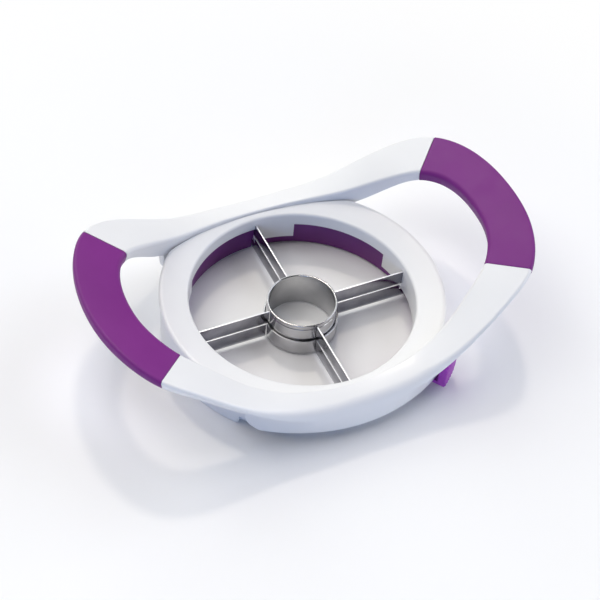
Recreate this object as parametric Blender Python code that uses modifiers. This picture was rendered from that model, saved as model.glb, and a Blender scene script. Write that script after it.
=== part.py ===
"""Two-handled fruit slicer with a corer tube and a second set of blades that a lever turns.

The slicer is pushed down over a fruit that stands on the table. Four fixed blades and a corer tube
cut it into four pieces. Below them hangs a turning ring with four more blades: its lever moves it
by an eighth of a turn, and the same push then gives eight pieces.

The frame of reference: millimetres written as metres, +Z up, the table at height zero, the origin
under the middle of the corer tube, the two grips along X, the lever in front (-Y) to the right.
"""
import math

import bmesh
import bpy
import numpy as np
from mathutils import Vector

MM = 0.001

# Gaps and overruns that every piece shares
FIT = 0.3 * MM                     # gap between pieces that touch on the real slicer
RUNNING_FIT = 0.6 * MM             # gap round what turns
OVERRUN = 4.0 * MM                 # how far a cutter runs past what it cuts
SINK = 0.8 * MM                    # how far a joined shape reaches into its carrier

# Cutting ring: deck, inner wall round the opening, outer wall down to the table
OPENING_RADIUS = 45.0 * MM
RING_BAND = 11.1 * MM              # plan width of the deck with both its edges
DECK_HEIGHT = 18.5 * MM            # top of the deck beside the opening
LIP_RISE = 0.9 * MM                # the outer lip stands this much above it
DECK_THICKNESS = 2.0 * MM
RING_WALL = 1.6 * MM
RING_EDGE_ROUND = 1.2 * MM
RING_WALL_DRAFT = 0.4 * MM         # the outer wall leans in by this much at the table
INNER_WALL_FOOT = 5.8 * MM         # lower edge of the wall round the opening
WINDOW_HEIGHT = 7.2 * MM           # windows in that wall, open downwards
WINDOW_STARTS_DEG = (17.0, 90.0, 197.0, 270.0)
WINDOW_SPAN_DEG = 52.0
LEVER_SLOT_HEIGHT = 4.6 * MM       # slot in the outer wall, open to the table
LEVER_SLOT_DEG = (-139.6, -42.0)

# Handle frame: one loop of changing section, with a skirt in front and behind
DECK_SHOWING = 3.0 * MM            # deck between the opening and the frame, front and back
PLATE_THICKNESS = 1.8 * MM         # frame over the deck
FINGER_GAP = 16.6 * MM             # room for fingers between ring and grip
GRIP_WIDTH = 17.1 * MM
GRIP_DEPTH = 9.2 * MM
GRIP_RISE = 23.8 * MM              # inner edge of the grip above the frame's front
GRIP_TILT = 3.8 * MM               # its outer edge stands this much higher still
FRAME_SLOPE = 0.35 * MM            # in front the outer edge is this much lower than the inner one
FRAME_ROUND = 2.0 * MM             # rounding of the frame's upper edges
SKIRT_WALL = 1.5 * MM
SKIRT_FOOT = 6.0 * MM              # lower edge of the skirt above the table
SKIRT_FLARE = 3.0 * MM             # the skirt swings out by this much at its ends
SKIRT_END_RISE = 5.9 * MM          # its ends slope up by this much
SKIRT_HALF_DEG = 45.4
SKIRT_FLAT_HALF_DEG = 40.0
SKIRT_STRAIGHT_SHARE = 0.55        # the slope is straight for this share, and steepens for the rest
SKIRT_END_POWER = 6
SKIRT_SIDE = 0.02                  # share of a station in which a skirt ends
KNEE_BEND = 1.2 * MM               # the skirt's bend reaches this far up and down,
KNEE_SHARE = 0.45                  # but over no more than this share of the face there
STATION_TOLERANCE = 0.001
SETTLING_ROUNDS = 4                # the skirt's foot and flare depend on each other
LEAST_TURN_SHARE = 0.01            # points of the underside are at least this far apart

# Purple sleeves round the two grips
SLEEVE_WALL = 1.5 * MM
SLEEVE_GAP = 0.45 * MM             # between sleeve and grip; it narrows towards the edges
LEAST_ROUND = 0.15 * MM            # inside the sleeve the roundings get no smaller than this

# Blades and corer
BLADE_THICKNESS = 0.6 * MM
BLADE_EDGE = 0.1 * MM              # what is left of the thickness at the cutting edge
BLADE_GRIND = 1.6 * MM             # height of the ground bevel
BLADE_HEIGHT = 6.9 * MM
BLADE_COUNT = 4
UPPER_BLADE_FOOT = 8.3 * MM
LOWER_BLADE_FOOT = 1.1 * MM
TUBE_RADIUS = 14.0 * MM
TUBE_WALL = 0.8 * MM
TUBE_FOOT = 0.8 * MM
TUBE_TOP_RISE = 0.8 * MM           # the tube stands this much above the blades
HUB_WALL = 0.65 * MM

# Turning ring that carries the lower blades
TURN_WALL = 1.2 * MM
TURN_FOOT = 0.6 * MM
FLANGE_WIDTH = 1.2 * MM
FLANGE_FOOT = 2.5 * MM
FLANGE_THICKNESS = 1.7 * MM
FORK_REACH = 4.4 * MM              # fork for the lever, measured out from the flange
FORK_HALF_DEG = 4.0
TONGUE_HALF_DEG = 1.7
TONGUE_DEPTH = 3.2 * MM
STOP_LUG_REACH = 2.4 * MM
STOP_LUG_DEG = (118.0, 122.0)
STOP_POST_DEG = (69.0, 72.0)
STOP_POST_RISE = 5.5 * MM
TURN_RANGE_DEG = 45.0
DETENT_DEG = 180.0
DETENT_NOTCH_RADIUS = 0.8 * MM
DETENT_NOTCH_DEPTH = 0.3 * MM

# Lever
LEVER_DEG = -48.8
PAD_HALF_DEG = 5.5
PAD_GAP = 0.4 * MM                 # between the pad and the widest part of the skirt
PAD_THICKNESS = 3.2 * MM
PAD_FOOT = 3.0 * MM
PAD_HEIGHT = 11.8 * MM
PAD_CORNER = 2.2 * MM
PAD_RIB = 0.5 * MM
PAD_RIBS = 7
RIB_STEPS = 4                      # rings of the pad for each rib, half of them in the groove
PAD_EDGE_ROUND = 0.7 * MM

# Retaining ring, its screws, and the screws that hold the frame
RETAINER_THICKNESS = 1.8 * MM
RETAINER_FOOT = 0.4 * MM
BOSS_RADIUS = 2.0 * MM
BOSS_CIRCLE_INSET = 4.2 * MM       # from the ring's outside to the circle of the screws
RING_SCREW_DEG = (-25.0, 35.0, 145.0, 205.0)
FRAME_SCREW_DEG = (74.0, 106.0, 254.0, 286.0)
SCREW_SHANK_RADIUS = 1.0 * MM
SCREW_HEAD_RADIUS = 1.9 * MM
SCREW_HEAD_HEIGHT = 0.85 * MM
SCREW_LENGTH = 6.0 * MM
FRAME_BOSS_RADIUS = 1.9 * MM
FRAME_SCREW_LENGTH = 3.2 * MM
SCREW_RECESS_RADIUS = 0.9 * MM
SCREW_RECESS_DEPTH = 0.5 * MM

# Detent spring
SPRING_THICKNESS = 0.3 * MM
SPRING_HALF_DEG = 9.0
SPRING_BUMP_HALF_DEG = 5.0
SPRING_STEPS = 18

# Steps of the round shapes
RING_STEPS = 72
TUBE_STEPS = 40
SCREW_STEPS = 12
ARC_STEP_DEG = 4.0
LOOP_STEPS = 3                     # rings of the frame's loop between two stations of its table
ROUND_STEPS = 3
BELLY_STEPS = 8

# Sizes that follow
RING_RADIUS = OPENING_RADIUS + RING_BAND
DECK_UNDERSIDE = DECK_HEIGHT - DECK_THICKNESS
RECESS_FLOOR = DECK_HEIGHT - 0.25 * DECK_THICKNESS
PLATE_UNDERSIDE = RECESS_FLOOR + FIT
FRAME_TOP = PLATE_UNDERSIDE + PLATE_THICKNESS
LOOP_INNER_X = RING_RADIUS + FINGER_GAP
LOOP_INNER_Y = OPENING_RADIUS + DECK_SHOWING
LOOP_OUTER_X = LOOP_INNER_X + GRIP_WIDTH
LOOP_OUTER_Y = RING_RADIUS + FIT + SKIRT_WALL
OUTER_RISE = GRIP_RISE + GRIP_TILT + FRAME_SLOPE
RING_INSIDE = RING_RADIUS - RING_WALL - RING_WALL_DRAFT
TURN_INNER = OPENING_RADIUS + RING_WALL + RUNNING_FIT
TURN_OUTER = TURN_INNER + TURN_WALL
FLANGE_OUTER = TURN_OUTER + FLANGE_WIDTH
FLANGE_TOP = FLANGE_FOOT + FLANGE_THICKNESS
SCREW_CIRCLE = RING_RADIUS - BOSS_CIRCLE_INSET
BLADE_INNER = TUBE_RADIUS + FIT
HUB_INNER = TUBE_RADIUS + FIT
HUB_OUTER = HUB_INNER + HUB_WALL
PAD_INNER_RADIUS = LOOP_OUTER_Y + SKIRT_FLARE + PAD_GAP
PAD_OUTER_RADIUS = PAD_INNER_RADIUS + PAD_THICKNESS
KNEE_RADIUS = PAD_INNER_RADIUS - PAD_GAP - FIT    # below this bend the pad passes the skirt,
KNEE_HEIGHT = PAD_FOOT + PAD_HEIGHT + FIT         # and above it the skirt leans out to the loop
WALL_BITE = RING_INSIDE + 0.6 * RING_WALL     # how far a rib inside the ring reaches into its wall
BOSS_FOOT = RETAINER_FOOT + RETAINER_THICKNESS + FIT

# A quarter of the handle loop, from the front-to-back middle (first row) to the middle of a grip
# (last row). Shares of: loop inner x, y and rise, then loop outer x, y and rise.
LOOP_SHARES = (
    (0.000, 1.000, 0.000, 0.000, 1.000, 0.000),
    (0.193, 0.981, 0.034, 0.162, 1.000, 0.013),
    (0.371, 0.929, 0.097, 0.325, 0.967, 0.093),
    (0.523, 0.848, 0.235, 0.470, 0.924, 0.264),
    (0.646, 0.763, 0.437, 0.605, 0.872, 0.508),
    (0.770, 0.658, 0.681, 0.739, 0.798, 0.756),
    (0.867, 0.560, 0.850, 0.850, 0.691, 0.894),
    (0.944, 0.400, 0.962, 0.933, 0.501, 0.978),
    (0.988, 0.204, 0.996, 0.984, 0.257, 1.003),
    (1.000, 0.000, 1.000, 1.000, 0.000, 1.000),
)
# The section at the same rows, as shares of the grip's depth: height of the inner side, height of
# the outer side, depth in the middle; then the rounding of the inner and outer upper edge as shares
# of the rounding, and the power that shapes the underside: below 1 full and round, 2 a straight V.
SECTION_SHARES = (
    (0.54, 0.45, 0.76, 0.45, 2.00, 1.20),
    (0.54, 0.44, 0.76, 0.45, 1.95, 1.20),
    (0.65, 0.36, 0.84, 0.55, 1.55, 1.40),
    (0.98, 0.20, 0.90, 0.75, 0.85, 1.85),
    (1.05, 0.17, 0.92, 0.90, 0.58, 2.00),
    (0.74, 0.19, 0.94, 0.95, 0.58, 1.85),
    (0.60, 0.23, 0.98, 1.00, 0.58, 1.65),
    (0.59, 0.26, 1.00, 1.00, 0.60, 1.45),
    (0.59, 0.28, 1.00, 1.00, 0.60, 1.35),
    (0.59, 0.28, 1.00, 1.00, 0.60, 1.30),
)
SEAM_STATION = 6                   # the row of the table where a sleeve ends
LAST_STATION = len(LOOP_SHARES) - 1
STATION_COUNT = 4 * LAST_STATION     # stations round the whole loop

WHITE = ("white_plastic", (0.87, 0.88, 0.90), 0.22, 0.0)
PURPLE = ("purple_sleeve", (0.24, 0.035, 0.28), 0.42, 0.0)
DARK_PURPLE = ("purple_ring", (0.20, 0.03, 0.24), 0.38, 0.0)
MAGENTA = ("magenta_lever", (0.36, 0.045, 0.42), 0.35, 0.0)
STEEL = ("blade_steel", (0.62, 0.62, 0.64), 0.16, 1.0)
SCREW_STEEL = ("screw_steel", (0.50, 0.50, 0.52), 0.32, 1.0)
SPRING_STEEL = ("spring_steel", (0.55, 0.53, 0.48), 0.28, 1.0)


def clear_scene():
    for thing in list(bpy.data.objects):
        bpy.data.objects.remove(thing, do_unlink=True)


def collection(name):
    made = bpy.data.collections.new(name)
    bpy.context.scene.collection.children.link(made)
    return made


clear_scene()
PARTS = collection("fruit_slicer")
CUTTERS = collection("fruit_slicer_cutters")
FINISHES = {}


def finish(recipe):
    """The material of a recipe, made once."""
    name, colour, roughness, metallic = recipe
    if name not in FINISHES:
        made = bpy.data.materials.new(name)
        made.use_nodes = True
        shader = made.node_tree.nodes["Principled BSDF"]
        shader.inputs["Base Color"].default_value = (*colour, 1.0)
        shader.inputs["Roughness"].default_value = roughness
        shader.inputs["Metallic"].default_value = metallic
        FINISHES[name] = made
    return FINISHES[name]


def part(name, mesh, recipe):
    """A sub-part: its object in the slicer's collection, with its own finish."""
    mesh.materials.clear()
    mesh.materials.append(finish(recipe))
    made = bpy.data.objects.new(name, mesh)
    PARTS.objects.link(made)
    return made


def cutter(name, mesh):
    """A shape that only cuts or joins."""
    made = bpy.data.objects.new(name, mesh)
    CUTTERS.objects.link(made)
    smooth(made)
    made.hide_render = True
    made.display_type = "WIRE"
    return made


def boolean(target, tool, operation):
    step = target.modifiers.new(tool.name, "BOOLEAN")
    step.operation = operation
    step.solver = "EXACT"
    step.object = tool


def smooth(thing, angle_deg=32.0):
    """Smooth shading that keeps corners sharper than the angle."""
    thing.data.shade_smooth()
    thing.data.set_sharp_from_angle(angle=math.radians(angle_deg))


def polar(radius, angle_deg, height=0.0):
    angle = math.radians(angle_deg)
    return Vector((radius * math.cos(angle), radius * math.sin(angle), height))


def lofted(name, rings, closed):
    """A mesh through rings of points: closed on itself, or with a cap on each end."""
    mesh = bpy.data.meshes.new(name)
    build = bmesh.new()
    rows = [[build.verts.new(point) for point in ring] for ring in rings]
    count = len(rows[0])
    pairs = list(zip(rows, rows[1:]))
    if closed:
        pairs.append((rows[-1], rows[0]))
    for row, following in pairs:
        for k in range(count):
            after = (k + 1) % count
            build.faces.new((row[k], row[after], following[after], following[k]))
    if not closed:
        build.faces.new(rows[0])
        build.faces.new(rows[-1])
    bmesh.ops.recalc_face_normals(build, faces=build.faces)
    build.to_mesh(mesh)
    build.free()
    return mesh


def turned(thing, steps):
    """A whole turn of the object's profile about Z."""
    screw = thing.modifiers.new("turn", "SCREW")
    screw.axis = "Z"
    screw.angle = math.tau
    screw.steps = steps
    screw.render_steps = steps
    screw.use_merge_vertices = True
    screw.merge_threshold = 0.01 * MM
    screw.use_smooth_shade = True


def profile(name, points, closed=True):
    """An outline of radius and height, listed along the top, down outside, in, and up."""
    mesh = bpy.data.meshes.new(name)
    count = len(points)
    edges = [(k, (k + 1) % count) for k in range(count if closed else count - 1)]
    mesh.from_pydata([(radius, 0.0, height) for radius, height in points], edges, [])
    return mesh


def slab(name, outline, foot, top):
    """A flat outline given a thickness, as a mesh with welded caps."""
    curve = bpy.data.curves.new(name, "CURVE")
    curve.dimensions = "2D"
    curve.fill_mode = "BOTH"
    curve.extrude = 0.5 * (top - foot)
    spline = curve.splines.new("POLY")
    spline.points.add(len(outline) - 1)
    for point, place in zip(spline.points, outline):
        point.co = (place[0], place[1], 0.0, 1.0)
    spline.use_cyclic_u = True
    carrier = bpy.data.objects.new(name + "_curve", curve)
    CUTTERS.objects.link(carrier)
    bpy.context.view_layer.update()
    graph = bpy.context.evaluated_depsgraph_get()
    mesh = bpy.data.meshes.new_from_object(carrier.evaluated_get(graph))
    bpy.data.objects.remove(carrier, do_unlink=True)
    build = bmesh.new()
    build.from_mesh(mesh)
    bmesh.ops.remove_doubles(build, verts=build.verts, dist=0.001 * MM)
    bmesh.ops.translate(build, verts=build.verts, vec=(0.0, 0.0, 0.5 * (top + foot)))
    bmesh.ops.recalc_face_normals(build, faces=build.faces)
    build.to_mesh(mesh)
    build.free()
    return mesh


def arc_block(name, inner, outer, foot, top, start_deg, end_deg):
    """A block bent round Z."""
    steps = max(2, round(abs(end_deg - start_deg) / ARC_STEP_DEG))
    angles = [start_deg + (end_deg - start_deg) * k / steps for k in range(steps + 1)]
    outline = [polar(outer, angle) for angle in angles]
    outline += [polar(inner, angle) for angle in reversed(angles)]
    return slab(name, outline, foot, top)


def cylinder(name, radius, foot, top, place=(0.0, 0.0), steps=SCREW_STEPS):
    mesh = bpy.data.meshes.new(name)
    build = bmesh.new()
    bmesh.ops.create_cone(build, cap_ends=True, segments=steps, radius1=radius, radius2=radius,
                          depth=top - foot)
    bmesh.ops.translate(build, verts=build.verts, vec=(place[0], place[1], 0.5 * (top + foot)))
    build.to_mesh(mesh)
    build.free()
    return mesh


# The handle loop
def whole_loop(quarter, mirror_x, mirror_y):
    """A column of the quarter table carried round the loop, front middle to front middle."""
    values = list(quarter)
    values += [value * mirror_y for value in reversed(quarter[:-1])]
    half = values[1:-1]
    values += [value * mirror_x for value in reversed(half)]
    return np.array(values)


def loop_curve(values):
    """The weights of a closed cubic that passes through the values."""
    count = len(values)
    steps = np.zeros((count, count))
    for k in range(count):
        steps[k, k] = 4.0 / 6.0
        steps[k, (k + 1) % count] = 1.0 / 6.0
        steps[k, (k - 1) % count] = 1.0 / 6.0
    return np.linalg.solve(steps, values)


def along(weights, station):
    """The closed cubic at a station, which may lie between two rows of the table."""
    whole = math.floor(station)
    t = station - whole
    basis = ((1 - t) ** 3, 3 * t ** 3 - 6 * t ** 2 + 4, -3 * t ** 3 + 3 * t ** 2 + 3 * t + 1, t ** 3)
    count = len(weights)
    return sum(share * weights[(whole + k - 1) % count] for k, share in enumerate(basis)) / 6.0


# Which way each column turns when it is mirrored from side to side and from front to back
MIRRORS = ((-1, 1), (1, -1), (1, 1), (-1, 1), (1, -1), (1, 1))
LOOP_WEIGHTS = [loop_curve(whole_loop([row[k] for row in LOOP_SHARES], *MIRRORS[k]))
                for k in range(len(MIRRORS))]
SECTION_WEIGHTS = [loop_curve(whole_loop([row[k] for row in SECTION_SHARES], 1, 1))
                   for k in range(len(SECTION_SHARES[0]))]


def loop_edges(station):
    """The loop's inner and outer upper edge at a station."""
    share = [along(weights, station) for weights in LOOP_WEIGHTS]
    inner = Vector((share[0] * LOOP_INNER_X, share[1] * LOOP_INNER_Y,
                    FRAME_TOP + share[2] * GRIP_RISE))
    outer = Vector((share[3] * LOOP_OUTER_X, share[4] * LOOP_OUTER_Y,
                    FRAME_TOP - FRAME_SLOPE + share[5] * OUTER_RISE))
    return inner, outer


class Section:
    """The loop cut across at a station, drawn in by the inset on every side."""

    def __init__(self, station, inset=0.0):
        self.inner, self.outer = loop_edges(station)
        share = [along(weights, station) for weights in SECTION_WEIGHTS]
        self.across = (self.outer - self.inner).normalized()
        self.down = (self.across * self.across.z - Vector((0.0, 0.0, 1.0))).normalized()
        self.width = (self.outer - self.inner).length - 2.0 * inset
        self.inner_side = share[0] * GRIP_DEPTH - inset
        self.outer_side = max(share[1] * GRIP_DEPTH - inset, LEAST_ROUND)
        self.depth = share[2] * GRIP_DEPTH - 2.0 * inset
        self.inner_round = max(share[3] * FRAME_ROUND - inset, LEAST_ROUND)
        self.outer_round = min(max(share[4] * FRAME_ROUND - inset, LEAST_ROUND), self.outer_side)
        self.power = share[5]
        self.start = self.inner + (self.across + self.down) * inset

    def at(self, u, v):
        """A point of the section, by its way across and its way down."""
        return self.start + self.across * u + self.down * v

    def outer_arc(self, wrap=0.5 * math.pi):
        r = self.outer_round
        turns = [wrap * k / ROUND_STEPS for k in range(ROUND_STEPS + 1)]
        return [self.at(self.width - r + r * math.sin(turn), r - r * math.cos(turn)) for turn in turns]

    def inner_arc(self):
        r = self.inner_round
        turns = [0.5 * math.pi * k / ROUND_STEPS for k in range(ROUND_STEPS + 1)]
        return [self.at(r - r * math.cos(turn), r - r * math.sin(turn)) for turn in turns]

    def belly(self, turn):
        outward = math.cos(turn)
        side = self.inner_side + (self.outer_side - self.inner_side) * 0.5 * (1.0 + outward)
        reach = math.copysign(abs(outward) ** self.power, outward)
        return self.at(0.5 * self.width * (1.0 + reach),
                       side + (self.depth - side) * math.sin(turn) ** self.power)

    def turn_at(self, far):
        """The turn at which the underside is this far in from the outer edge, seen from above."""
        share = 2.0 * (self.width - far / math.hypot(self.across.x, self.across.y)) / self.width - 1.0
        return math.acos(math.copysign(abs(share) ** (1.0 / self.power), share))

    def belly_from(self, first):
        """The underside from a turn on to the inner side."""
        turns = [first + (math.pi - first) * k / BELLY_STEPS for k in range(BELLY_STEPS)]
        return [self.belly(turn) for turn in turns] + [self.at(0.0, self.inner_side)]


def loop_section(station, inset):
    cut = Section(station, inset)
    return cut.outer_arc() + cut.belly_from(math.pi / BELLY_STEPS) + cut.inner_arc()


# The skirts, which hang from the loop's outer edge in front and behind
def inwards_to(edge, inward, radius):
    """How far inwards from the edge the axis is this radius away."""
    reach = -edge.dot(inward)
    return reach - math.sqrt(reach * reach - edge.x * edge.x - edge.y * edge.y + radius * radius)


def skirt_foot(cut):
    """Where the skirt's foot is under a section: which way in, how far, how high, how far round."""
    inward = Vector((cut.inner.x - cut.outer.x, cut.inner.y - cut.outer.y, 0.0)).normalized()
    reach = 0.0
    for _ in range(SETTLING_ROUNDS):
        spot = cut.outer + inward * reach
        off = abs(90.0 - abs(math.degrees(math.atan2(spot.y, spot.x))))
        flare = SKIRT_FLARE * (off / SKIRT_HALF_DEG) ** 2
        reach = inwards_to(cut.outer, inward, LOOP_OUTER_Y + flare)
    slope = max(0.0, off - SKIRT_FLAT_HALF_DEG) / (SKIRT_HALF_DEG - SKIRT_FLAT_HALF_DEG)
    rise = SKIRT_STRAIGHT_SHARE * slope + (1.0 - SKIRT_STRAIGHT_SHARE) * slope ** SKIRT_END_POWER
    return inward, reach, SKIRT_FOOT + SKIRT_END_RISE * rise, off


def skirt_line(cut):
    """The skirt from the loop's outer edge down to its foot, and the turn where it meets the belly."""
    inward, reach, foot, _ = skirt_foot(cut)

    def spot(far, height):
        return cut.outer + inward * far + Vector((0.0, 0.0, height - cut.outer.z))

    side = cut.outer_arc()[-1]
    lean = reach * (side.z - KNEE_HEIGHT) / (side.z - foot)
    knee = spot(max(lean, inwards_to(cut.outer, inward, KNEE_RADIUS)), KNEE_HEIGHT)
    slant = math.atan2((knee - side).dot(inward), side.z - knee.z)
    edge = cut.outer_arc(0.5 * math.pi + slant)
    toe = spot(reach, foot)
    inside = reach + SKIRT_WALL + SINK
    bend = [knee + (end - knee).normalized() * min(KNEE_BEND, KNEE_SHARE * (end - knee).length)
            for end in (edge[-1], toe)]
    return edge, bend + [toe, spot(inside, foot)], cut.turn_at(inside)


def last_skirt_station():
    """The station where a skirt ends, counted from its middle and found by halving."""
    near, far = 0.0, float(LAST_STATION)
    while far - near > STATION_TOLERANCE:
        middle = 0.5 * (near + far)
        if skirt_foot(Section(middle))[3] < SKIRT_HALF_DEG:
            near = middle
        else:
            far = middle
    return near


def stations(first, last):
    """Evenly spaced stations, both ends included."""
    count = round((last - first) * LOOP_STEPS)
    return [first + (last - first) * k / count for k in range(count + 1)]


# A sleeve runs between the seams on either side of each grip's middle
RIGHT_SEAMS = (SEAM_STATION, 2 * LAST_STATION - SEAM_STATION)
LEFT_SEAMS = (2 * LAST_STATION + SEAM_STATION, STATION_COUNT - SEAM_STATION)
# Seam gap as a share of a station, from the loop's length along its inner edge
STATION_LENGTH = (loop_edges(SEAM_STATION + 1)[0] - loop_edges(SEAM_STATION)[0]).length
SEAM_GAP_SHARE = FIT / STATION_LENGTH


SKIRT_REACH = last_skirt_station()


def end_turns():
    """The turns of the underside straight above the points of the skirt's end, none the same."""
    cut = Section(SKIRT_REACH)
    inward = skirt_foot(cut)[0]
    _, line, meets = skirt_line(cut)
    turns = [0.0]
    for k, point in enumerate(line):
        most = meets * (1.0 - LEAST_TURN_SHARE * (len(line) - k))
        above = min(cut.turn_at((point - cut.outer).dot(inward)), most)
        turns.append(max(above, turns[-1] + LEAST_TURN_SHARE * meets))
    return turns[1:], meets


END_TURNS, END_MEETS = end_turns()


def frame_section(station, inset, skirted):
    """The frame's section, with or without a skirt, in the same number of points."""
    cut = Section(station, inset)
    if skirted:
        edge, line, meets = skirt_line(cut)
    else:
        edge, line, meets = cut.outer_arc(), [cut.belly(turn) for turn in END_TURNS], END_MEETS
    return edge + line + cut.belly_from(meets) + cut.inner_arc()


def handle_loop():
    """The frame's loop: skirts in front and behind, and thinner where the sleeves go over it."""
    rings = []
    for start, seams in ((0, RIGHT_SEAMS), (2 * LAST_STATION, LEFT_SEAMS)):
        end = start + 2 * LAST_STATION
        spans = ((start, start + SKIRT_REACH, 0.0, True),
                 (start + SKIRT_REACH + SKIRT_SIDE, seams[0], 0.0, False),
                 (*seams, SLEEVE_WALL + SLEEVE_GAP, False),
                 (seams[1], end - SKIRT_REACH - SKIRT_SIDE, 0.0, False),
                 (end - SKIRT_REACH, end, 0.0, True))
        for first, last, inset, skirted in spans:
            rings += [frame_section(station, inset, skirted) for station in stations(first, last)
                      if station < end]
    return lofted("handle_frame", rings, closed=True)


def frame_bosses(name, radius, foot, top):
    return [cutter("%s_%d" % (name, k), cylinder("%s_%d" % (name, k), radius, foot, top,
                                                polar(SCREW_CIRCLE, angle)))
            for k, angle in enumerate(FRAME_SCREW_DEG)]


def make_handle_frame():
    frame = part("handle_frame", handle_loop(), WHITE)
    space = cylinder("ring_space", RING_RADIUS + FIT, -OVERRUN, PLATE_UNDERSIDE, steps=2 * RING_STEPS)
    boolean(frame, cutter("ring_space", space), "DIFFERENCE")
    boss_top = PLATE_UNDERSIDE + 0.5 * PLATE_THICKNESS
    for boss in frame_bosses("frame_boss", FRAME_BOSS_RADIUS, DECK_UNDERSIDE + 0.5 * FIT, boss_top):
        boolean(frame, boss, "UNION")
    bore_top = DECK_UNDERSIDE + FRAME_SCREW_LENGTH
    bore = SCREW_SHANK_RADIUS + FIT
    for hole in frame_bosses("frame_bore", bore, DECK_UNDERSIDE - OVERRUN, bore_top):
        boolean(frame, hole, "DIFFERENCE")
    smooth(frame)
    return frame


def make_grip(name, seams):
    """A sleeve: its outside is flush with the frame, its bore leaves a gap round the core."""
    gap = SEAM_GAP_SHARE
    places = stations(seams[0] + gap, seams[1] - gap)
    rings = [loop_section(station, 0.0) for station in places]
    rings += [loop_section(station, SLEEVE_WALL) for station in reversed(places)]
    grip = part(name, lofted(name, rings, closed=True), PURPLE)
    smooth(grip)
    return grip


# Cutting ring
def make_cutting_ring():
    e = RING_EDGE_ROUND
    lip = DECK_HEIGHT + LIP_RISE
    inside = OPENING_RADIUS + RING_WALL
    wall_in = RING_RADIUS - RING_WALL
    points = [(OPENING_RADIUS + 0.3 * e, DECK_HEIGHT - 0.3 * e), (OPENING_RADIUS + e, DECK_HEIGHT),
              (RING_RADIUS - 1.8 * e, lip - 0.3 * e), (RING_RADIUS - e, lip),
              (RING_RADIUS - 0.3 * e, lip - 0.3 * e), (RING_RADIUS, lip - e),
              (RING_RADIUS - RING_WALL_DRAFT, 0.0), (RING_INSIDE, 0.0),
              (wall_in, DECK_UNDERSIDE), (inside, DECK_UNDERSIDE), (inside, INNER_WALL_FOOT),
              (OPENING_RADIUS, INNER_WALL_FOOT), (OPENING_RADIUS, DECK_HEIGHT - e)]
    ring = part("cutting_ring", profile("cutting_ring", points), WHITE)
    turned(ring, RING_STEPS)

    # The frame lies in a recess of the deck, front and back
    rings = []
    for station in stations(0, STATION_COUNT)[:-1]:
        edge, _ = loop_edges(station)
        inward = -Vector((edge.x, edge.y, 0.0)).normalized()
        near = Vector((edge.x, edge.y, 0.0)) + inward * FIT
        far = near - inward * 2.0 * RING_BAND
        rings.append([Vector((near.x, near.y, RECESS_FLOOR)), Vector((far.x, far.y, RECESS_FLOOR)),
                      Vector((far.x, far.y, lip + OVERRUN)), Vector((near.x, near.y, lip + OVERRUN))])
    boolean(ring, cutter("frame_recess", lofted("frame_recess", rings, closed=True)), "DIFFERENCE")

    # Windows in the inner wall, and the slot that the lever sweeps through the outer one
    for k, start in enumerate(WINDOW_STARTS_DEG):
        name = "window_%d" % k
        mesh = arc_block(name, OPENING_RADIUS - OVERRUN, inside + FIT, INNER_WALL_FOOT - OVERRUN,
                         INNER_WALL_FOOT + WINDOW_HEIGHT, start, start + WINDOW_SPAN_DEG)
        boolean(ring, cutter(name, mesh), "DIFFERENCE")
    mesh = arc_block("lever_slot", RING_INSIDE - FIT, RING_RADIUS + OVERRUN, -OVERRUN,
                     LEVER_SLOT_HEIGHT, *LEVER_SLOT_DEG)
    boolean(ring, cutter("lever_slot", mesh), "DIFFERENCE")

    # Slots for the upper blades' ends
    half = 0.5 * BLADE_THICKNESS + FIT
    for k in range(BLADE_COUNT):
        turn = 360.0 * k / BLADE_COUNT
        name = "upper_blade_slot_%d" % k
        corners = ((OPENING_RADIUS - OVERRUN, -half), (inside + FIT, -half), (inside + FIT, half),
                   (OPENING_RADIUS - OVERRUN, half))
        outline = [rotated(corner, turn) for corner in corners]
        mesh = slab(name, outline, UPPER_BLADE_FOOT - FIT, UPPER_BLADE_FOOT + BLADE_HEIGHT + FIT)
        boolean(ring, cutter(name, mesh), "DIFFERENCE")

    # Bosses for the retaining ring's screws, each with a rib to the outer wall, and a stop
    for k, angle in enumerate(RING_SCREW_DEG):
        place = polar(SCREW_CIRCLE, angle)
        boss = cylinder("boss_%d" % k, BOSS_RADIUS, BOSS_FOOT, DECK_UNDERSIDE + SINK, place)
        boolean(ring, cutter("boss_%d" % k, boss), "UNION")
        half_deg = math.degrees(0.5 * RING_WALL / SCREW_CIRCLE)
        rib = arc_block("boss_rib_%d" % k, SCREW_CIRCLE, WALL_BITE, BOSS_FOOT,
                        DECK_UNDERSIDE + 0.5 * SINK, angle - half_deg, angle + half_deg)
        boolean(ring, cutter("boss_rib_%d" % k, rib), "UNION")
    post = arc_block("stop_post", FLANGE_OUTER + FIT, WALL_BITE, BOSS_FOOT,
                     BOSS_FOOT + STOP_POST_RISE, *STOP_POST_DEG)
    boolean(ring, cutter("stop_post", post), "UNION")
    for k, angle in enumerate(RING_SCREW_DEG):
        place = polar(SCREW_CIRCLE, angle)
        hole = cylinder("boss_bore_%d" % k, SCREW_SHANK_RADIUS + FIT, BOSS_FOOT - OVERRUN,
                        RETAINER_FOOT + SCREW_HEAD_HEIGHT + SCREW_LENGTH + FIT, place)
        boolean(ring, cutter("boss_bore_%d" % k, hole), "DIFFERENCE")
    for hole in frame_bosses("deck_hole", FRAME_BOSS_RADIUS + FIT, DECK_UNDERSIDE - OVERRUN,
                             RECESS_FLOOR + OVERRUN):
        boolean(ring, hole, "DIFFERENCE")
    smooth(ring)
    return ring


def rotated(place, turn_deg):
    turn = math.radians(turn_deg)
    x, y = place
    return (x * math.cos(turn) - y * math.sin(turn), x * math.sin(turn) + y * math.cos(turn))


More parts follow.
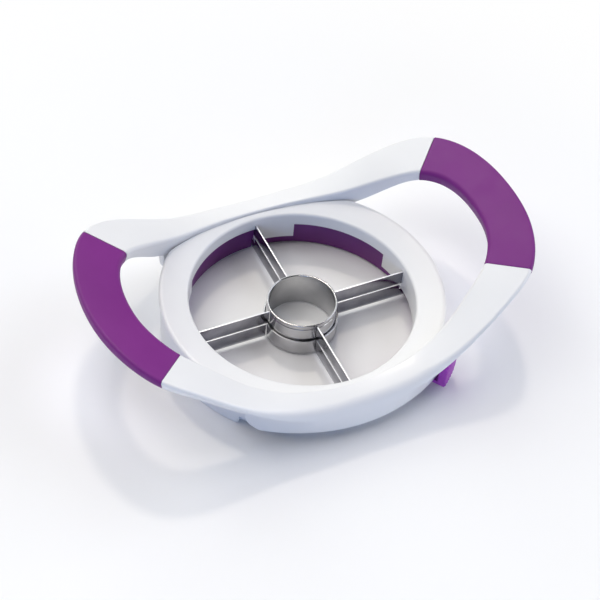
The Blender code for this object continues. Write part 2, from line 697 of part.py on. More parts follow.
# Blades and corer
def blade(name, turn_deg, foot, reaches):
    """A blade standing on edge along a radius: its height may change at each reach."""
    half = 0.5 * BLADE_THICKNESS
    edge = 0.5 * BLADE_EDGE
    rings = []
    for radius, top in reaches:
        sides = ((-half, top), (half, top), (half, foot + BLADE_GRIND), (edge, foot), (-edge, foot),
                 (-half, foot + BLADE_GRIND))
        rings.append([Vector((*rotated((radius, across), turn_deg), height))
                      for across, height in sides])
    return part(name, lofted(name, rings, closed=False), STEEL)


def make_blades():
    upper_top = UPPER_BLADE_FOOT + BLADE_HEIGHT
    lower_top = LOWER_BLADE_FOOT + BLADE_HEIGHT
    tab_top = INNER_WALL_FOOT - FIT
    for k in range(BLADE_COUNT):
        turn = 360.0 * k / BLADE_COUNT
        blade("upper_blade_%d" % (k + 1), turn, UPPER_BLADE_FOOT,
              ((BLADE_INNER, upper_top), (OPENING_RADIUS + RING_WALL - FIT, upper_top)))
        blade("lower_blade_%d" % (k + 1), turn, LOWER_BLADE_FOOT,
              ((HUB_OUTER + FIT, lower_top), (OPENING_RADIUS - RUNNING_FIT, lower_top),
               (OPENING_RADIUS - FIT, tab_top), (TURN_OUTER - FIT, tab_top)))


def make_corer_tube():
    top = UPPER_BLADE_FOOT + BLADE_HEIGHT + TUBE_TOP_RISE
    bore = TUBE_RADIUS - TUBE_WALL
    points = [(bore, top), (TUBE_RADIUS - 0.25 * TUBE_WALL, top),
              (TUBE_RADIUS, top - 0.25 * TUBE_WALL), (TUBE_RADIUS, TUBE_FOOT + BLADE_GRIND),
              (bore + 0.5 * BLADE_EDGE, TUBE_FOOT), (bore, TUBE_FOOT)]
    tube = part("corer_tube", profile("corer_tube", points), STEEL)
    turned(tube, TUBE_STEPS)
    smooth(tube)


def make_lower_hub():
    foot = LOWER_BLADE_FOOT
    top = LOWER_BLADE_FOOT + BLADE_HEIGHT
    points = [(HUB_INNER, top), (HUB_OUTER, top), (HUB_OUTER, foot), (HUB_INNER, foot)]
    hub = part("lower_hub", profile("lower_hub", points), STEEL)
    turned(hub, TUBE_STEPS)
    smooth(hub)


# Turning ring and lever
def make_turning_ring():
    top = DECK_UNDERSIDE - FIT
    points = [(TURN_INNER, top), (TURN_OUTER, top), (TURN_OUTER, FLANGE_TOP),
              (FLANGE_OUTER, FLANGE_TOP), (FLANGE_OUTER, FLANGE_FOOT), (TURN_OUTER, FLANGE_FOOT),
              (TURN_OUTER, TURN_FOOT), (TURN_INNER, TURN_FOOT)]
    ring = part("turning_ring", profile("turning_ring", points), DARK_PURPLE)
    turned(ring, RING_STEPS)
    root = TURN_OUTER + 0.5 * FLANGE_WIDTH
    fork = arc_block("lever_fork", root, FLANGE_OUTER + FORK_REACH, FLANGE_FOOT, FLANGE_TOP,
                     LEVER_DEG - FORK_HALF_DEG, LEVER_DEG + FORK_HALF_DEG)
    boolean(ring, cutter("lever_fork", fork), "UNION")
    lug = arc_block("stop_lug", root, FLANGE_OUTER + STOP_LUG_REACH, FLANGE_FOOT, FLANGE_TOP,
                    *STOP_LUG_DEG)
    boolean(ring, cutter("stop_lug", lug), "UNION")
    gap_deg = math.degrees(FIT / (FLANGE_OUTER + FORK_REACH - TONGUE_DEPTH))
    mouth = arc_block("fork_mouth", FLANGE_OUTER + FORK_REACH - TONGUE_DEPTH,
                      FLANGE_OUTER + FORK_REACH + OVERRUN, FLANGE_FOOT - OVERRUN,
                      FLANGE_TOP + OVERRUN, LEVER_DEG - TONGUE_HALF_DEG - gap_deg,
                      LEVER_DEG + TONGUE_HALF_DEG + gap_deg)
    boolean(ring, cutter("fork_mouth", mouth), "DIFFERENCE")
    for k in range(2):
        place = polar(FLANGE_OUTER + DETENT_NOTCH_RADIUS - DETENT_NOTCH_DEPTH,
                      DETENT_DEG + TURN_RANGE_DEG * k)
        notch = cylinder("detent_notch_%d" % k, DETENT_NOTCH_RADIUS, FLANGE_FOOT - OVERRUN,
                         FLANGE_TOP + OVERRUN, place)
        boolean(ring, cutter("detent_notch_%d" % k, notch), "DIFFERENCE")
    half = 0.5 * BLADE_THICKNESS + FIT
    for k in range(BLADE_COUNT):
        turn = 360.0 * k / BLADE_COUNT
        name = "lower_blade_slot_%d" % k
        corners = ((TURN_INNER - OVERRUN, -half), (TURN_OUTER + FIT, -half),
                   (TURN_OUTER + FIT, half), (TURN_INNER - OVERRUN, half))
        mesh = slab(name, [rotated(corner, turn) for corner in corners], TURN_FOOT - OVERRUN,
                    INNER_WALL_FOOT)
        boolean(ring, cutter(name, mesh), "DIFFERENCE")
    smooth(ring)


def make_lever():
    """The ribbed pad outside the skirt, and its arm with the tongue that the fork holds."""
    rings = []
    steps = RIB_STEPS * PAD_RIBS
    corner_deg = math.degrees(PAD_CORNER / PAD_OUTER_RADIUS)
    for k in range(steps + 1):
        off = PAD_HALF_DEG * (2.0 * k / steps - 1.0)
        into = max(0.0, abs(off) - (PAD_HALF_DEG - corner_deg)) / corner_deg
        drop = PAD_CORNER * (1.0 - math.sqrt(max(0.0, 1.0 - 0.96 * into ** 2)))
        outer = PAD_OUTER_RADIUS - (PAD_RIB if k % RIB_STEPS >= RIB_STEPS // 2 else 0.0)
        foot = PAD_FOOT + drop
        top = PAD_FOOT + PAD_HEIGHT - drop
        e = PAD_EDGE_ROUND
        sides = ((PAD_INNER_RADIUS + e, top), (outer - e, top), (outer, top - e), (outer, foot + e),
                 (outer - e, foot), (PAD_INNER_RADIUS + e, foot), (PAD_INNER_RADIUS, foot + e),
                 (PAD_INNER_RADIUS, top - e))
        rings.append([polar(radius, LEVER_DEG + off, height) for radius, height in sides])
    lever = part("lever", lofted("lever", rings, closed=False), MAGENTA)
    arm = arc_block("lever_arm", FLANGE_OUTER + FORK_REACH + FIT, PAD_INNER_RADIUS + SINK,
                    FLANGE_FOOT, FLANGE_TOP, LEVER_DEG - FORK_HALF_DEG, LEVER_DEG + FORK_HALF_DEG)
    boolean(lever, cutter("lever_arm", arm), "UNION")
    tongue = arc_block("lever_tongue", FLANGE_OUTER + FORK_REACH - TONGUE_DEPTH + FIT,
                       FLANGE_OUTER + FORK_REACH + SINK, FLANGE_FOOT, FLANGE_TOP,
                       LEVER_DEG - TONGUE_HALF_DEG, LEVER_DEG + TONGUE_HALF_DEG)
    boolean(lever, cutter("lever_tongue", tongue), "UNION")
    smooth(lever)


# Retaining ring, spring and screws
def make_retaining_ring():
    foot = RETAINER_FOOT
    top = RETAINER_FOOT + RETAINER_THICKNESS
    inner = TURN_OUTER + FIT
    outer = RING_INSIDE - FIT
    points = [(inner, top), (outer, top), (outer, foot), (inner, foot)]
    ring = part("retaining_ring", profile("retaining_ring", points), WHITE)
    turned(ring, RING_STEPS)
    seat = foot + SCREW_HEAD_HEIGHT + FIT
    for k, angle in enumerate(RING_SCREW_DEG):
        place = polar(SCREW_CIRCLE, angle)
        wide = cylinder("head_seat_%d" % k, SCREW_HEAD_RADIUS + FIT, foot - OVERRUN, seat, place)
        boolean(ring, cutter("head_seat_%d" % k, wide), "DIFFERENCE")
        narrow = cylinder("head_bore_%d" % k, SCREW_SHANK_RADIUS + FIT, foot, top + OVERRUN, place)
        boolean(ring, cutter("head_bore_%d" % k, narrow), "DIFFERENCE")
    smooth(ring)


def screw_outline(length):
    """From the tip down to the driver recess in the head's face, the head at the bottom."""
    tip = SCREW_HEAD_HEIGHT + length
    return [(0.0, tip), (0.6 * SCREW_SHANK_RADIUS, tip), (SCREW_SHANK_RADIUS, tip - SCREW_SHANK_RADIUS),
            (SCREW_SHANK_RADIUS, SCREW_HEAD_HEIGHT), (SCREW_HEAD_RADIUS, SCREW_HEAD_HEIGHT),
            (SCREW_HEAD_RADIUS, 0.0), (SCREW_RECESS_RADIUS, 0.0),
            (SCREW_RECESS_RADIUS, SCREW_RECESS_DEPTH), (0.0, SCREW_RECESS_DEPTH)]


def make_screws(name, angles, foot, length):
    """One screw for each angle on the screw circle, all sharing one turned outline."""
    outline = profile(name, screw_outline(length), closed=False)
    for k, angle in enumerate(angles):
        screw = part("%s_%d" % (name, k + 1), outline, SCREW_STEEL)
        screw.location = polar(SCREW_CIRCLE, angle, foot)
        turned(screw, SCREW_STEPS)
    smooth(screw)


def make_detent_spring():
    """A leaf that hugs the outer wall and bows in to the turning ring's notch."""
    rest = RING_INSIDE - FIT - SPRING_THICKNESS
    tip = FLANGE_OUTER + FIT
    angles = [SPRING_HALF_DEG * (2.0 * k / SPRING_STEPS - 1.0) for k in range(SPRING_STEPS + 1)]

    def reach(off):
        inward = max(0.0, 1.0 - (off / SPRING_BUMP_HALF_DEG) ** 2)
        return rest - (rest - tip) * inward ** 2

    outline = [polar(reach(off) + SPRING_THICKNESS, DETENT_DEG + off) for off in angles]
    outline += [polar(reach(off), DETENT_DEG + off) for off in reversed(angles)]
    part("detent_spring", slab("detent_spring", outline, FLANGE_FOOT + 0.5 * FIT, FLANGE_TOP),
         SPRING_STEEL)


make_handle_frame()
make_grip("right_grip", RIGHT_SEAMS)
make_grip("left_grip", LEFT_SEAMS)
make_cutting_ring()
make_blades()
make_corer_tube()
make_lower_hub()
make_turning_ring()
make_lever()
make_retaining_ring()
make_detent_spring()
make_screws("ring_screw", RING_SCREW_DEG, RETAINER_FOOT + 0.3 * FIT, SCREW_LENGTH)
make_screws("frame_screw", FRAME_SCREW_DEG, DECK_UNDERSIDE - FIT - SCREW_HEAD_HEIGHT,
            FRAME_SCREW_LENGTH)
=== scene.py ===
# %% [markdown]
# # A fruit slicer, dressed for its picture
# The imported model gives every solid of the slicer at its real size. This script gives each of them
# a finer surface and its real finish, then adds a floor, seven lamps and a camera. Each step first
# says what it makes and why.
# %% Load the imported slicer
import math
from math import cos, degrees, pi, radians, sin

import bmesh
import bpy
import numpy as np
from mathutils import Matrix, Vector


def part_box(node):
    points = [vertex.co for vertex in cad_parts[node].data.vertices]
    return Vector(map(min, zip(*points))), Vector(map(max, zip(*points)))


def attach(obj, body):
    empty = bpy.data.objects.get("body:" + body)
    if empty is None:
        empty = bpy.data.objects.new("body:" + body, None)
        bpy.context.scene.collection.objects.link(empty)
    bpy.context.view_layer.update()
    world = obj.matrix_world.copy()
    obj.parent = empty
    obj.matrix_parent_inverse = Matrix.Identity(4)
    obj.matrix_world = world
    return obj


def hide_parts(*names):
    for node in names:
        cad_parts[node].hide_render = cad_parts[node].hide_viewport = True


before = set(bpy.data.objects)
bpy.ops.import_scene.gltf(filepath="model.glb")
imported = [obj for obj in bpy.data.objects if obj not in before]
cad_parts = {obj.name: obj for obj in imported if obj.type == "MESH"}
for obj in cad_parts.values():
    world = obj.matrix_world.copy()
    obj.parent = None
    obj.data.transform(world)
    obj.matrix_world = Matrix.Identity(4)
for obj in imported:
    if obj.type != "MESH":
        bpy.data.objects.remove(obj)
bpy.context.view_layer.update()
MM = 0.001


# %% [markdown]
# ## Camera
# The picture is taken from the front, from the left and from well above. The camera looks at a point
# near the middle of the slicer, and is rolled a little about its line of sight. A long lens keeps
# the two grips nearly the same size.
# %% Camera
VIEW_TURN = radians(-29.63)
VIEW_RISE = radians(47.72)
VIEW_ROLL = radians(6.32)
VIEW_DISTANCE = 701.6 * MM
VIEW_TARGET = Vector((4.8 * MM, 10.3 * MM, 3.5 * MM))
PICTURE_WIDTH = 600
FOCAL_PIXELS = 1733.0
SENSOR_WIDTH = 36.0
CLIP_START = 10 * MM

backwards = Vector((sin(VIEW_TURN) * cos(VIEW_RISE), -cos(VIEW_TURN) * cos(VIEW_RISE),
                    sin(VIEW_RISE)))
level_right = Vector((cos(VIEW_TURN), sin(VIEW_TURN), 0.0))
level_up = backwards.cross(level_right)
camera_right = cos(VIEW_ROLL) * level_right + sin(VIEW_ROLL) * level_up
camera_up = backwards.cross(camera_right)

bpy.ops.object.camera_add()
camera = bpy.context.object
camera.data.sensor_width = SENSOR_WIDTH
camera.data.lens = SENSOR_WIDTH * FOCAL_PIXELS / PICTURE_WIDTH
camera.data.clip_start = CLIP_START
camera.matrix_world = (Matrix.Translation(VIEW_TARGET + backwards * VIEW_DISTANCE)
                       @ Matrix((camera_right, camera_up, backwards)).transposed().to_4x4())
bpy.context.scene.camera = camera
bpy.context.scene.view_settings.view_transform = "Standard"
print("lens in mm:", round(camera.data.lens, 1))

# %% [markdown]
# ## Nodes
# The sky, the paper and every finish are small trees of shader nodes. These helpers add a node or
# start a material, and fill each input with a value or with the output that feeds it.
# %% Helpers for nodes
def set_inputs(tree, node, inputs):
    for key, value in inputs.items():
        if isinstance(value, bpy.types.NodeSocket):
            tree.links.new(value, node.inputs[key])
        else:
            node.inputs[key].default_value = value


def add_node(tree, kind, inputs, **settings):
    made = tree.nodes.new("ShaderNode" + kind)
    for key, value in settings.items():
        setattr(made, key, value)
    set_inputs(tree, made, inputs)
    return made


def new_material(name, inputs):
    """A material, its tree and its shader."""
    made = bpy.data.materials.new(name)
    made.use_nodes = True
    shader = made.node_tree.nodes["Principled BSDF"]
    set_inputs(made.node_tree, shader, inputs)
    return made, made.node_tree, shader


# %% [markdown]
# ## Light
# The picture has broad, soft light from behind and above, a cooler fill from the right, and bluish
# shade at the front left. Sun lamps have no falloff, and a wide spread makes each a large soft
# panel. A small one draws the crisp edge of the shadow under each grip. A faint sky lights
# every corner, but the camera sees plain white in its place.
# %% Light
LAMPS = {
    # degrees round, degrees up, degrees wide, strength, colour
    "small_lamp": (69.2, 58.2, 6.0, 0.46, (1.00, 0.90, 0.77)),
    "panel_above": (165.0, 68.0, 50.0, 1.18, (1.00, 0.97, 0.93)),
    "panel_right": (0.0, 35.0, 50.0, 1.26, (0.86, 0.89, 1.00)),
    "panel_behind": (90.0, 35.0, 50.0, 1.08, (0.96, 1.00, 0.99)),
    "panel_behind_left": (135.0, 35.0, 50.0, 0.64, (1.00, 0.98, 0.90)),
    "panel_front_left": (240.0, 12.0, 30.0, 0.80, (0.36, 0.55, 1.00)),
    "panel_front_right": (325.0, 12.0, 30.0, 0.65, (0.96, 0.98, 1.00)),
}
SKY_COLOUR = (0.82, 0.88, 1.0)
SKY_STRENGTH = 0.06
WHITE = (1.0, 1.0, 1.0, 1.0)

for name, (round_deg, high_deg, wide_deg, strength, colour) in LAMPS.items():
    bpy.ops.object.light_add(type="SUN")
    lamp = bpy.context.object
    lamp.name = name
    lamp.data.energy = strength
    lamp.data.color = colour
    lamp.data.angle = radians(wide_deg)
    turn, rise = radians(round_deg), radians(high_deg)
    towards = Vector((cos(rise) * cos(turn), cos(rise) * sin(turn), sin(rise)))
    lamp.rotation_euler = towards.to_track_quat("Z", "Y").to_euler()

sky = bpy.data.worlds.new("pale_sky")
sky.use_nodes = True
tree = sky.node_tree
faint = tree.nodes["Background"]
set_inputs(tree, faint, {"Color": (*SKY_COLOUR, 1.0), "Strength": SKY_STRENGTH})
plain = add_node(tree, "Background", {"Color": WHITE})
ray = add_node(tree, "LightPath", {})
either = add_node(tree, "MixShader", {
    "Fac": ray.outputs["Is Camera Ray"], 1: faint.outputs["Background"],
    2: plain.outputs["Background"]})
set_inputs(tree, tree.nodes["World Output"], {"Surface": either.outputs["Shader"]})
bpy.context.scene.world = sky
print(len(LAMPS), "lamps")

# %% [markdown]
# ## Floor
# The slicer stands on white paper, which shows its shadows. Further out the picture turns to plain
# white: there the camera, and mirrors, see a white glow and not the paper.
# %% Floor
FLOOR_SIZE = 4.0
PAPER_COLOUR = (0.88, 0.885, 0.90)
PAPER_ROUGHNESS = 0.55
PAPER_FADE_FROM = 120 * MM
PAPER_FADE_TO = 260 * MM

bpy.ops.mesh.primitive_plane_add(size=FLOOR_SIZE)
floor = bpy.context.object
floor.name = "paper_floor"

paper, tree, skin = new_material(
    "paper", {"Base Color": (*PAPER_COLOUR, 1.0), "Roughness": PAPER_ROUGHNESS})
where = add_node(tree, "TexCoord", {})
reach = add_node(tree, "VectorMath", {0: where.outputs["Object"]}, operation="LENGTH")
fade = add_node(tree, "MapRange", {
    "Value": reach.outputs["Value"], "From Min": PAPER_FADE_FROM, "From Max": PAPER_FADE_TO},
    interpolation_type="SMOOTHSTEP")
ray = add_node(tree, "LightPath", {})
either = add_node(
    tree, "Math", {0: ray.outputs["Is Camera Ray"], 1: ray.outputs["Is Glossy Ray"]},
    operation="MAXIMUM")
share = add_node(tree, "Math", {0: fade.outputs["Result"], 1: either.outputs["Value"]},
                 operation="MULTIPLY")
glow = add_node(tree, "Emission", {})
blend = add_node(tree, "MixShader", {
    "Fac": share.outputs["Value"], 1: skin.outputs["BSDF"], 2: glow.outputs["Emission"]})
set_inputs(tree, tree.nodes["Material Output"], {"Surface": blend.outputs["Shader"]})
floor.data.materials.append(paper)

# %% [markdown]
# ## Finishes
# Every finish is a Principled shader whose colour, roughness and relief come from noise on the
# piece's own coordinates, in metres. These helpers make a noise, say how far its greys may push an
# input, and feed a shader's colour or relief with it.
# %% Helpers for finishes
MIDDLE_GREYS = (0.3, 0.7)


def noise(tree, source, scale, stretch=(1.0, 1.0, 1.0), detail=3.0):
    """A noise on a coordinate of the piece; a larger stretch makes it finer along that axis."""
    place = add_node(tree, "TexCoord", {})
    sizing = add_node(tree, "Mapping", {"Vector": place.outputs[source], "Scale": stretch})
    grey = add_node(
        tree, "TexNoise", {"Vector": sizing.outputs["Vector"], "Scale": scale, "Detail": detail})
    return grey.outputs["Fac"]


def spread(tree, grey, low, high):
    """The noise's middle greys drawn out from low to high."""
    step = add_node(tree, "MapRange", {
        "Value": grey, "To Min": low, "To Max": high, "From Min": MIDDLE_GREYS[0],
        "From Max": MIDDLE_GREYS[1]})
    return step.outputs["Result"]


def tinted(tree, shader, grey, dark, light):
    """The shader's colour runs between two colours with the noise."""
    mix = add_node(tree, "Mix", {
        "A": (*dark, 1.0), "B": (*light, 1.0), "Factor": spread(tree, grey, 0.0, 1.0)},
        data_type="RGBA")
    set_inputs(tree, shader, {"Base Color": mix.outputs["Result"]})


def relief(tree, shader, grey, depth):
    """The noise as a relief of that depth in metres."""
    bump = add_node(tree, "Bump", {"Distance": depth, "Height": grey})
    set_inputs(tree, shader, {"Normal": bump.outputs["Normal"]})


# %% [markdown]
# ## Moulded plastic
# Moulded plastic is never quite one colour, and its skin carries the fine grain of the mould. The
# white is polished, the sleeves have a satin grain, and the lever is glossy.
# %% Plastic
COAT_ROUGHNESS = 0.15
PLASTIC_IOR = 1.49
CLOUD_SCALE = 28.0
WANDER_SCALE = 160.0
WANDER = 0.05


def plastic(name, dark, light, roughness, grain, depth, coat=0.0, gloss=0.5):
    """Plastic with slow clouds of colour, a fine grain, and a roughness that wanders a little."""
    made, tree, shader = new_material(name, {
        "Coat Weight": coat, "Coat Roughness": COAT_ROUGHNESS, "IOR": PLASTIC_IOR,
        "Specular IOR Level": gloss})
    tinted(tree, shader, noise(tree, "Object", CLOUD_SCALE), dark, light)
    wander = noise(tree, "Object", WANDER_SCALE, detail=4.0)
    set_inputs(
        tree, shader, {"Roughness": spread(tree, wander, roughness - WANDER, roughness + WANDER)})
    relief(tree, shader, noise(tree, "Object", 1.0 / grain, detail=2.0), depth)
    return made


white_plastic = plastic(
    "white_plastic", (0.785, 0.790, 0.810), (0.820, 0.825, 0.840), 0.38, grain=3.5 * MM,
    depth=0.006 * MM, coat=0.15)
purple_sleeve = plastic(
    "purple_sleeve", (0.168, 0.013, 0.190), (0.192, 0.019, 0.215), 0.50, grain=0.25 * MM,
    depth=0.008 * MM, gloss=0.3)
dark_purple = plastic(
    "dark_purple", (0.135, 0.016, 0.165), (0.170, 0.022, 0.205), 0.42, grain=0.4 * MM,
    depth=0.006 * MM, gloss=0.4)
bright_purple = plastic(
    "bright_purple", (0.30, 0.026, 0.36), (0.40, 0.050, 0.47), 0.34, grain=0.6 * MM,
    depth=0.008 * MM, coat=0.1, gloss=0.4)

# %% [markdown]
# ## Steel
# The blades are cut from rolled strip, which has fine streaks along it. They follow a map that each
# blade carries, so they run along it whichever way it points. The tube is turned, and its streaks
# run round it: a noise that only changes with height does that.
# %% Steel
SMEAR_SCALE = 140.0
STREAK_DEPTH = 0.004 * MM


def steel(name, dark, light, source, stretch, smoothest, roughest):
    """Steel with slow smears of grey, and streaks that run as the stretch of their noise says."""
    made, tree, shader = new_material(name, {"Metallic": 1.0})
    streaks = noise(tree, source, 1.0, stretch, detail=4.0)
    tinted(tree, shader, noise(tree, "Object", SMEAR_SCALE), dark, light)
    set_inputs(tree, shader, {"Roughness": spread(tree, streaks, smoothest, roughest)})
    relief(tree, shader, streaks, STREAK_DEPTH)
    return made


# The blades' colour is darker and bluer than plain steel: a painted dark reflection.
blade_steel = steel(
    "blade_steel", (0.25, 0.25, 0.28), (0.34, 0.34, 0.37), "UV", (40.0, 5000.0, 1.0), 0.12, 0.24)
tube_steel = steel(
    "tube_steel", (0.44, 0.44, 0.45), (0.53, 0.53, 0.54), "Object",
    (20.0, 20.0, 4000.0), 0.12, 0.24)
screw_steel = steel(
    "screw_steel", (0.42, 0.42, 0.44), (0.52, 0.52, 0.54), "Object",
    (900.0, 900.0, 900.0), 0.25, 0.40)
spring_steel = steel(
    "spring_steel", (0.45, 0.42, 0.37), (0.55, 0.52, 0.46), "Object",
    (30.0, 30.0, 3000.0), 0.22, 0.36)

# %% [markdown]
# ## Helpers for shapes
# An operator acts on all that is selected, so each helper first clears the selection. The main one
# drags a closed ring of points through space: the ring is extruded again and again, and its new
# points are put in their places.
# %% Helpers for shapes
WELD = 0.005 * MM
SMOOTH_UNDER = radians(32)


def clear_choice():
    bpy.ops.object.select_all(action="DESELECT")


def choose(piece):
    clear_choice()
    piece.select_set(True)
    bpy.context.view_layer.objects.active = piece


def added(name, operator, **settings):
    """The new piece that an operator makes."""
    clear_choice()
    operator(**settings)
    bpy.context.object.name = name
    return bpy.context.object


def cube(name, size, place=(0.0, 0.0, 0.0), turn_deg=0.0):
    """A block of this size, its middle at the place, turned about the upright."""
    made = added(name, bpy.ops.mesh.primitive_cube_add, size=1.0)
    made.scale = size
    made.location = place
    made.rotation_euler.z = radians(turn_deg)
    return made


def open_ring(name, count):
    """A ring of points, ready to be put in their places."""
    piece = added(name, bpy.ops.mesh.primitive_circle_add, vertices=count)
    bpy.ops.object.mode_set(mode="EDIT")
    bpy.ops.mesh.select_mode(type="EDGE")
    bpy.ops.mesh.select_all(action="SELECT")
    return piece


def put_selected(piece, places):
    edit = bmesh.from_edit_mesh(piece.data)
    chosen = [point for point in edit.verts if point.select]
    for point, place in zip(chosen, places):
        point.co = place


def close_up(piece):
    """Doubles are merged, faces turned outwards, and edit mode is left."""
    bpy.ops.mesh.select_all(action="SELECT")
    bpy.ops.mesh.remove_doubles(threshold=WELD)
    bpy.ops.mesh.normals_make_consistent()
    bpy.ops.object.mode_set(mode="OBJECT")


def swept(name, rings, closed=True):
    """A tube through rings of points, closed on itself or capped at both ends."""
    count = len(rings[0])
    piece = open_ring(name, count)
    put_selected(piece, rings[0])
    for ring in rings[1:] + (rings[:1] if closed else []):
        bpy.ops.mesh.extrude_edges_indiv()
        put_selected(piece, ring)
    if not closed:
        bpy.ops.mesh.edge_face_add()
        bpy.ops.mesh.select_all(action="DESELECT")
        edit = bmesh.from_edit_mesh(piece.data)
        edit.verts.ensure_lookup_table()
        for point in edit.verts[:count]:
            point.select_set(True)
        edit.select_flush(True)
        bpy.ops.mesh.edge_face_add()
    close_up(piece)
    return piece


def polar(radius, angle_deg, height=0.0):
    angle = radians(angle_deg)
    return Vector((radius * cos(angle), radius * sin(angle), height))


def arc_block(name, inner, outer, foot, top, start_deg, end_deg, step_deg=1.5):
    """A block bent round the slicer's axis."""
    steps = max(1, round(abs(end_deg - start_deg) / step_deg))
    corners = ((inner, foot), (outer, foot), (outer, top), (inner, top))
    rings = []
    for k in range(steps + 1):
        angle = start_deg + (end_deg - start_deg) * k / steps
        rings.append([polar(radius, angle, height) for radius, height in corners])
    return swept(name, rings, closed=False)


# %% [markdown]
# A turned piece starts as an outline of radius and height, and Blender's spin carries it once round.
# Each corner of the outline may have a rounding, which it goes round in a few short steps.
# %% Turned pieces
def rounded(corners, steps=5):
    """An outline from (radius, height, rounding) corners, each rounding drawn as an arc."""
    points = []
    for k, (x, z, rounding) in enumerate(corners):
        corner = Vector((x, z))
        if rounding == 0:
            points.append(corner)
            continue
        before = (Vector(corners[k - 1][:2]) - corner).normalized()
        after = (Vector(corners[(k + 1) % len(corners)][:2]) - corner).normalized()
        half = 0.5 * before.angle(after)
        centre = corner + (before + after).normalized() * rounding / sin(half)
        first = (corner + before * rounding / math.tan(half) - centre).normalized()
        last = (corner + after * rounding / math.tan(half) - centre).normalized()
        points += [centre + first.slerp(last, i / steps) * rounding for i in range(steps + 1)]
    return points


def spun(name, outline, steps=180):
    """A closed outline of radius and height carried round the slicer's axis."""
    piece = open_ring(name, len(outline))
    put_selected(piece, [(radius, 0.0, height) for radius, height in outline])
    bpy.ops.mesh.spin(steps=steps, angle=math.tau, axis=(0.0, 0.0, 1.0))
    close_up(piece)
    return piece


def rod(name, radius, foot, top, place=(0.0, 0.0), steps=32):
    return added(name, bpy.ops.mesh.primitive_cylinder_add, vertices=steps, radius=radius,
                 depth=top - foot, location=(place[0], place[1], 0.5 * (foot + top)))


# %% [markdown]
# Shapes are joined and cut with Boolean modifiers, which are applied at once, and the tool is thrown
# away. The last helper gives a finished piece its finish, its smooth shading and the body that it
# rides on, and hides the imported node that it stands for.
# %% Joining, cutting and handing over
def applied(piece, kind, **settings):
    choose(piece)
    step = piece.modifiers.new(kind.lower(), kind)
    for key, value in settings.items():
        setattr(step, key, value)
    bpy.ops.object.modifier_apply(modifier=step.name)


def bevelled(piece, width, segments, over_deg):
    """Every edge that turns by more than this is rounded."""
    applied(piece, "BEVEL", width=width, segments=segments, limit_method="ANGLE",
            angle_limit=radians(over_deg))


def four_of(model, name):
    """Four copies of a model and their numbers; the model is then thrown away."""
    for k in range(4):
        choose(model)
        bpy.ops.object.duplicate()
        bpy.context.object.name = "%s_%d" % (name, k + 1)
        yield k, bpy.context.object
    bpy.data.objects.remove(model)


def join_on(piece, tool):
    applied(piece, "BOOLEAN", operation="UNION", solver="EXACT", object=tool)
    bpy.data.objects.remove(tool)


def cut_out(piece, tool):
    applied(piece, "BOOLEAN", operation="DIFFERENCE", solver="EXACT", object=tool)
    bpy.data.objects.remove(tool)


def hand_over(piece, material, body, node):
    choose(piece)
    bpy.ops.object.transform_apply()
    bpy.ops.object.shade_smooth_by_angle(angle=SMOOTH_UNDER)
    piece.data.materials.clear()
    piece.data.materials.append(material)
    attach(piece, body)
    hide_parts(node)
    triangles = sum(len(face.vertices) - 2 for face in piece.data.polygons)
    print(piece.name, "has", triangles, "triangles")


# %% [markdown]
# ## The line of the handle loop
# The frame is one loop, a rounded lozenge from above, which climbs from the deck to the two grips.
# Its inner and its outer upper edge are smooth closed curves through a few places. These are given
# for a quarter of the loop, as shares of its sizes, and mirrored for the rest.
# %% Sizes of the frame
FIT = 0.3 * MM
ring_low, ring_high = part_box("cutting_ring")
RING_RADIUS = ring_high.x
FRAME_TOP = 20.1 * MM
LOOP_INNER = (72.7 * MM, 48.0 * MM)
LOOP_OUTER = (89.8 * MM, 57.9 * MM)
GRIP_RISE = 23.8 * MM
GRIP_TILT = 3.8 * MM
GRIP_DEPTH = 9.2 * MM
FRAME_SLOPE = 0.35 * MM
FRAME_ROUND = 2.0 * MM
SLEEVE_WALL = 1.5 * MM
SLEEVE_GAP = 0.45 * MM
LEAST_ROUND = 0.15 * MM

# From the front-to-back middle to the middle of a grip: inner x, y and rise, outer x, y and rise
LOOP_SHARES = (
    (0.000, 1.000, 0.000, 0.000, 1.000, 0.000),
    (0.193, 0.981, 0.034, 0.162, 1.000, 0.013),
    (0.371, 0.929, 0.097, 0.325, 0.967, 0.093),
    (0.523, 0.848, 0.235, 0.470, 0.924, 0.264),
    (0.646, 0.763, 0.437, 0.605, 0.872, 0.508),
    (0.770, 0.658, 0.681, 0.739, 0.798, 0.756),
    (0.867, 0.560, 0.850, 0.850, 0.691, 0.894),
    (0.944, 0.400, 0.962, 0.933, 0.501, 0.978),
    (0.988, 0.204, 0.996, 0.984, 0.257, 1.003),
    (1.000, 0.000, 1.000, 1.000, 0.000, 1.000),
)
# At the same places: height of the inner and the outer side and depth in the middle, as shares of
# the grip's depth, rounding of the inner and outer edge, and how full the underside is
SECTION_SHARES = (
    (0.54, 0.45, 0.76, 0.45, 2.00, 1.20),
    (0.54, 0.44, 0.76, 0.45, 1.95, 1.20),
    (0.65, 0.36, 0.84, 0.55, 1.55, 1.40),
    (0.98, 0.20, 0.90, 0.75, 0.85, 1.85),
    (1.05, 0.17, 0.92, 0.90, 0.58, 2.00),
    (0.74, 0.19, 0.94, 0.95, 0.58, 1.85),
    (0.60, 0.23, 0.98, 1.00, 0.58, 1.65),
    (0.59, 0.26, 1.00, 1.00, 0.60, 1.45),
    (0.59, 0.28, 1.00, 1.00, 0.60, 1.35),
    (0.59, 0.28, 1.00, 1.00, 0.60, 1.30),
)
LAST_PLACE = len(LOOP_SHARES) - 1
PLACES_ROUND = 4 * LAST_PLACE
SEAM_PLACE = 6

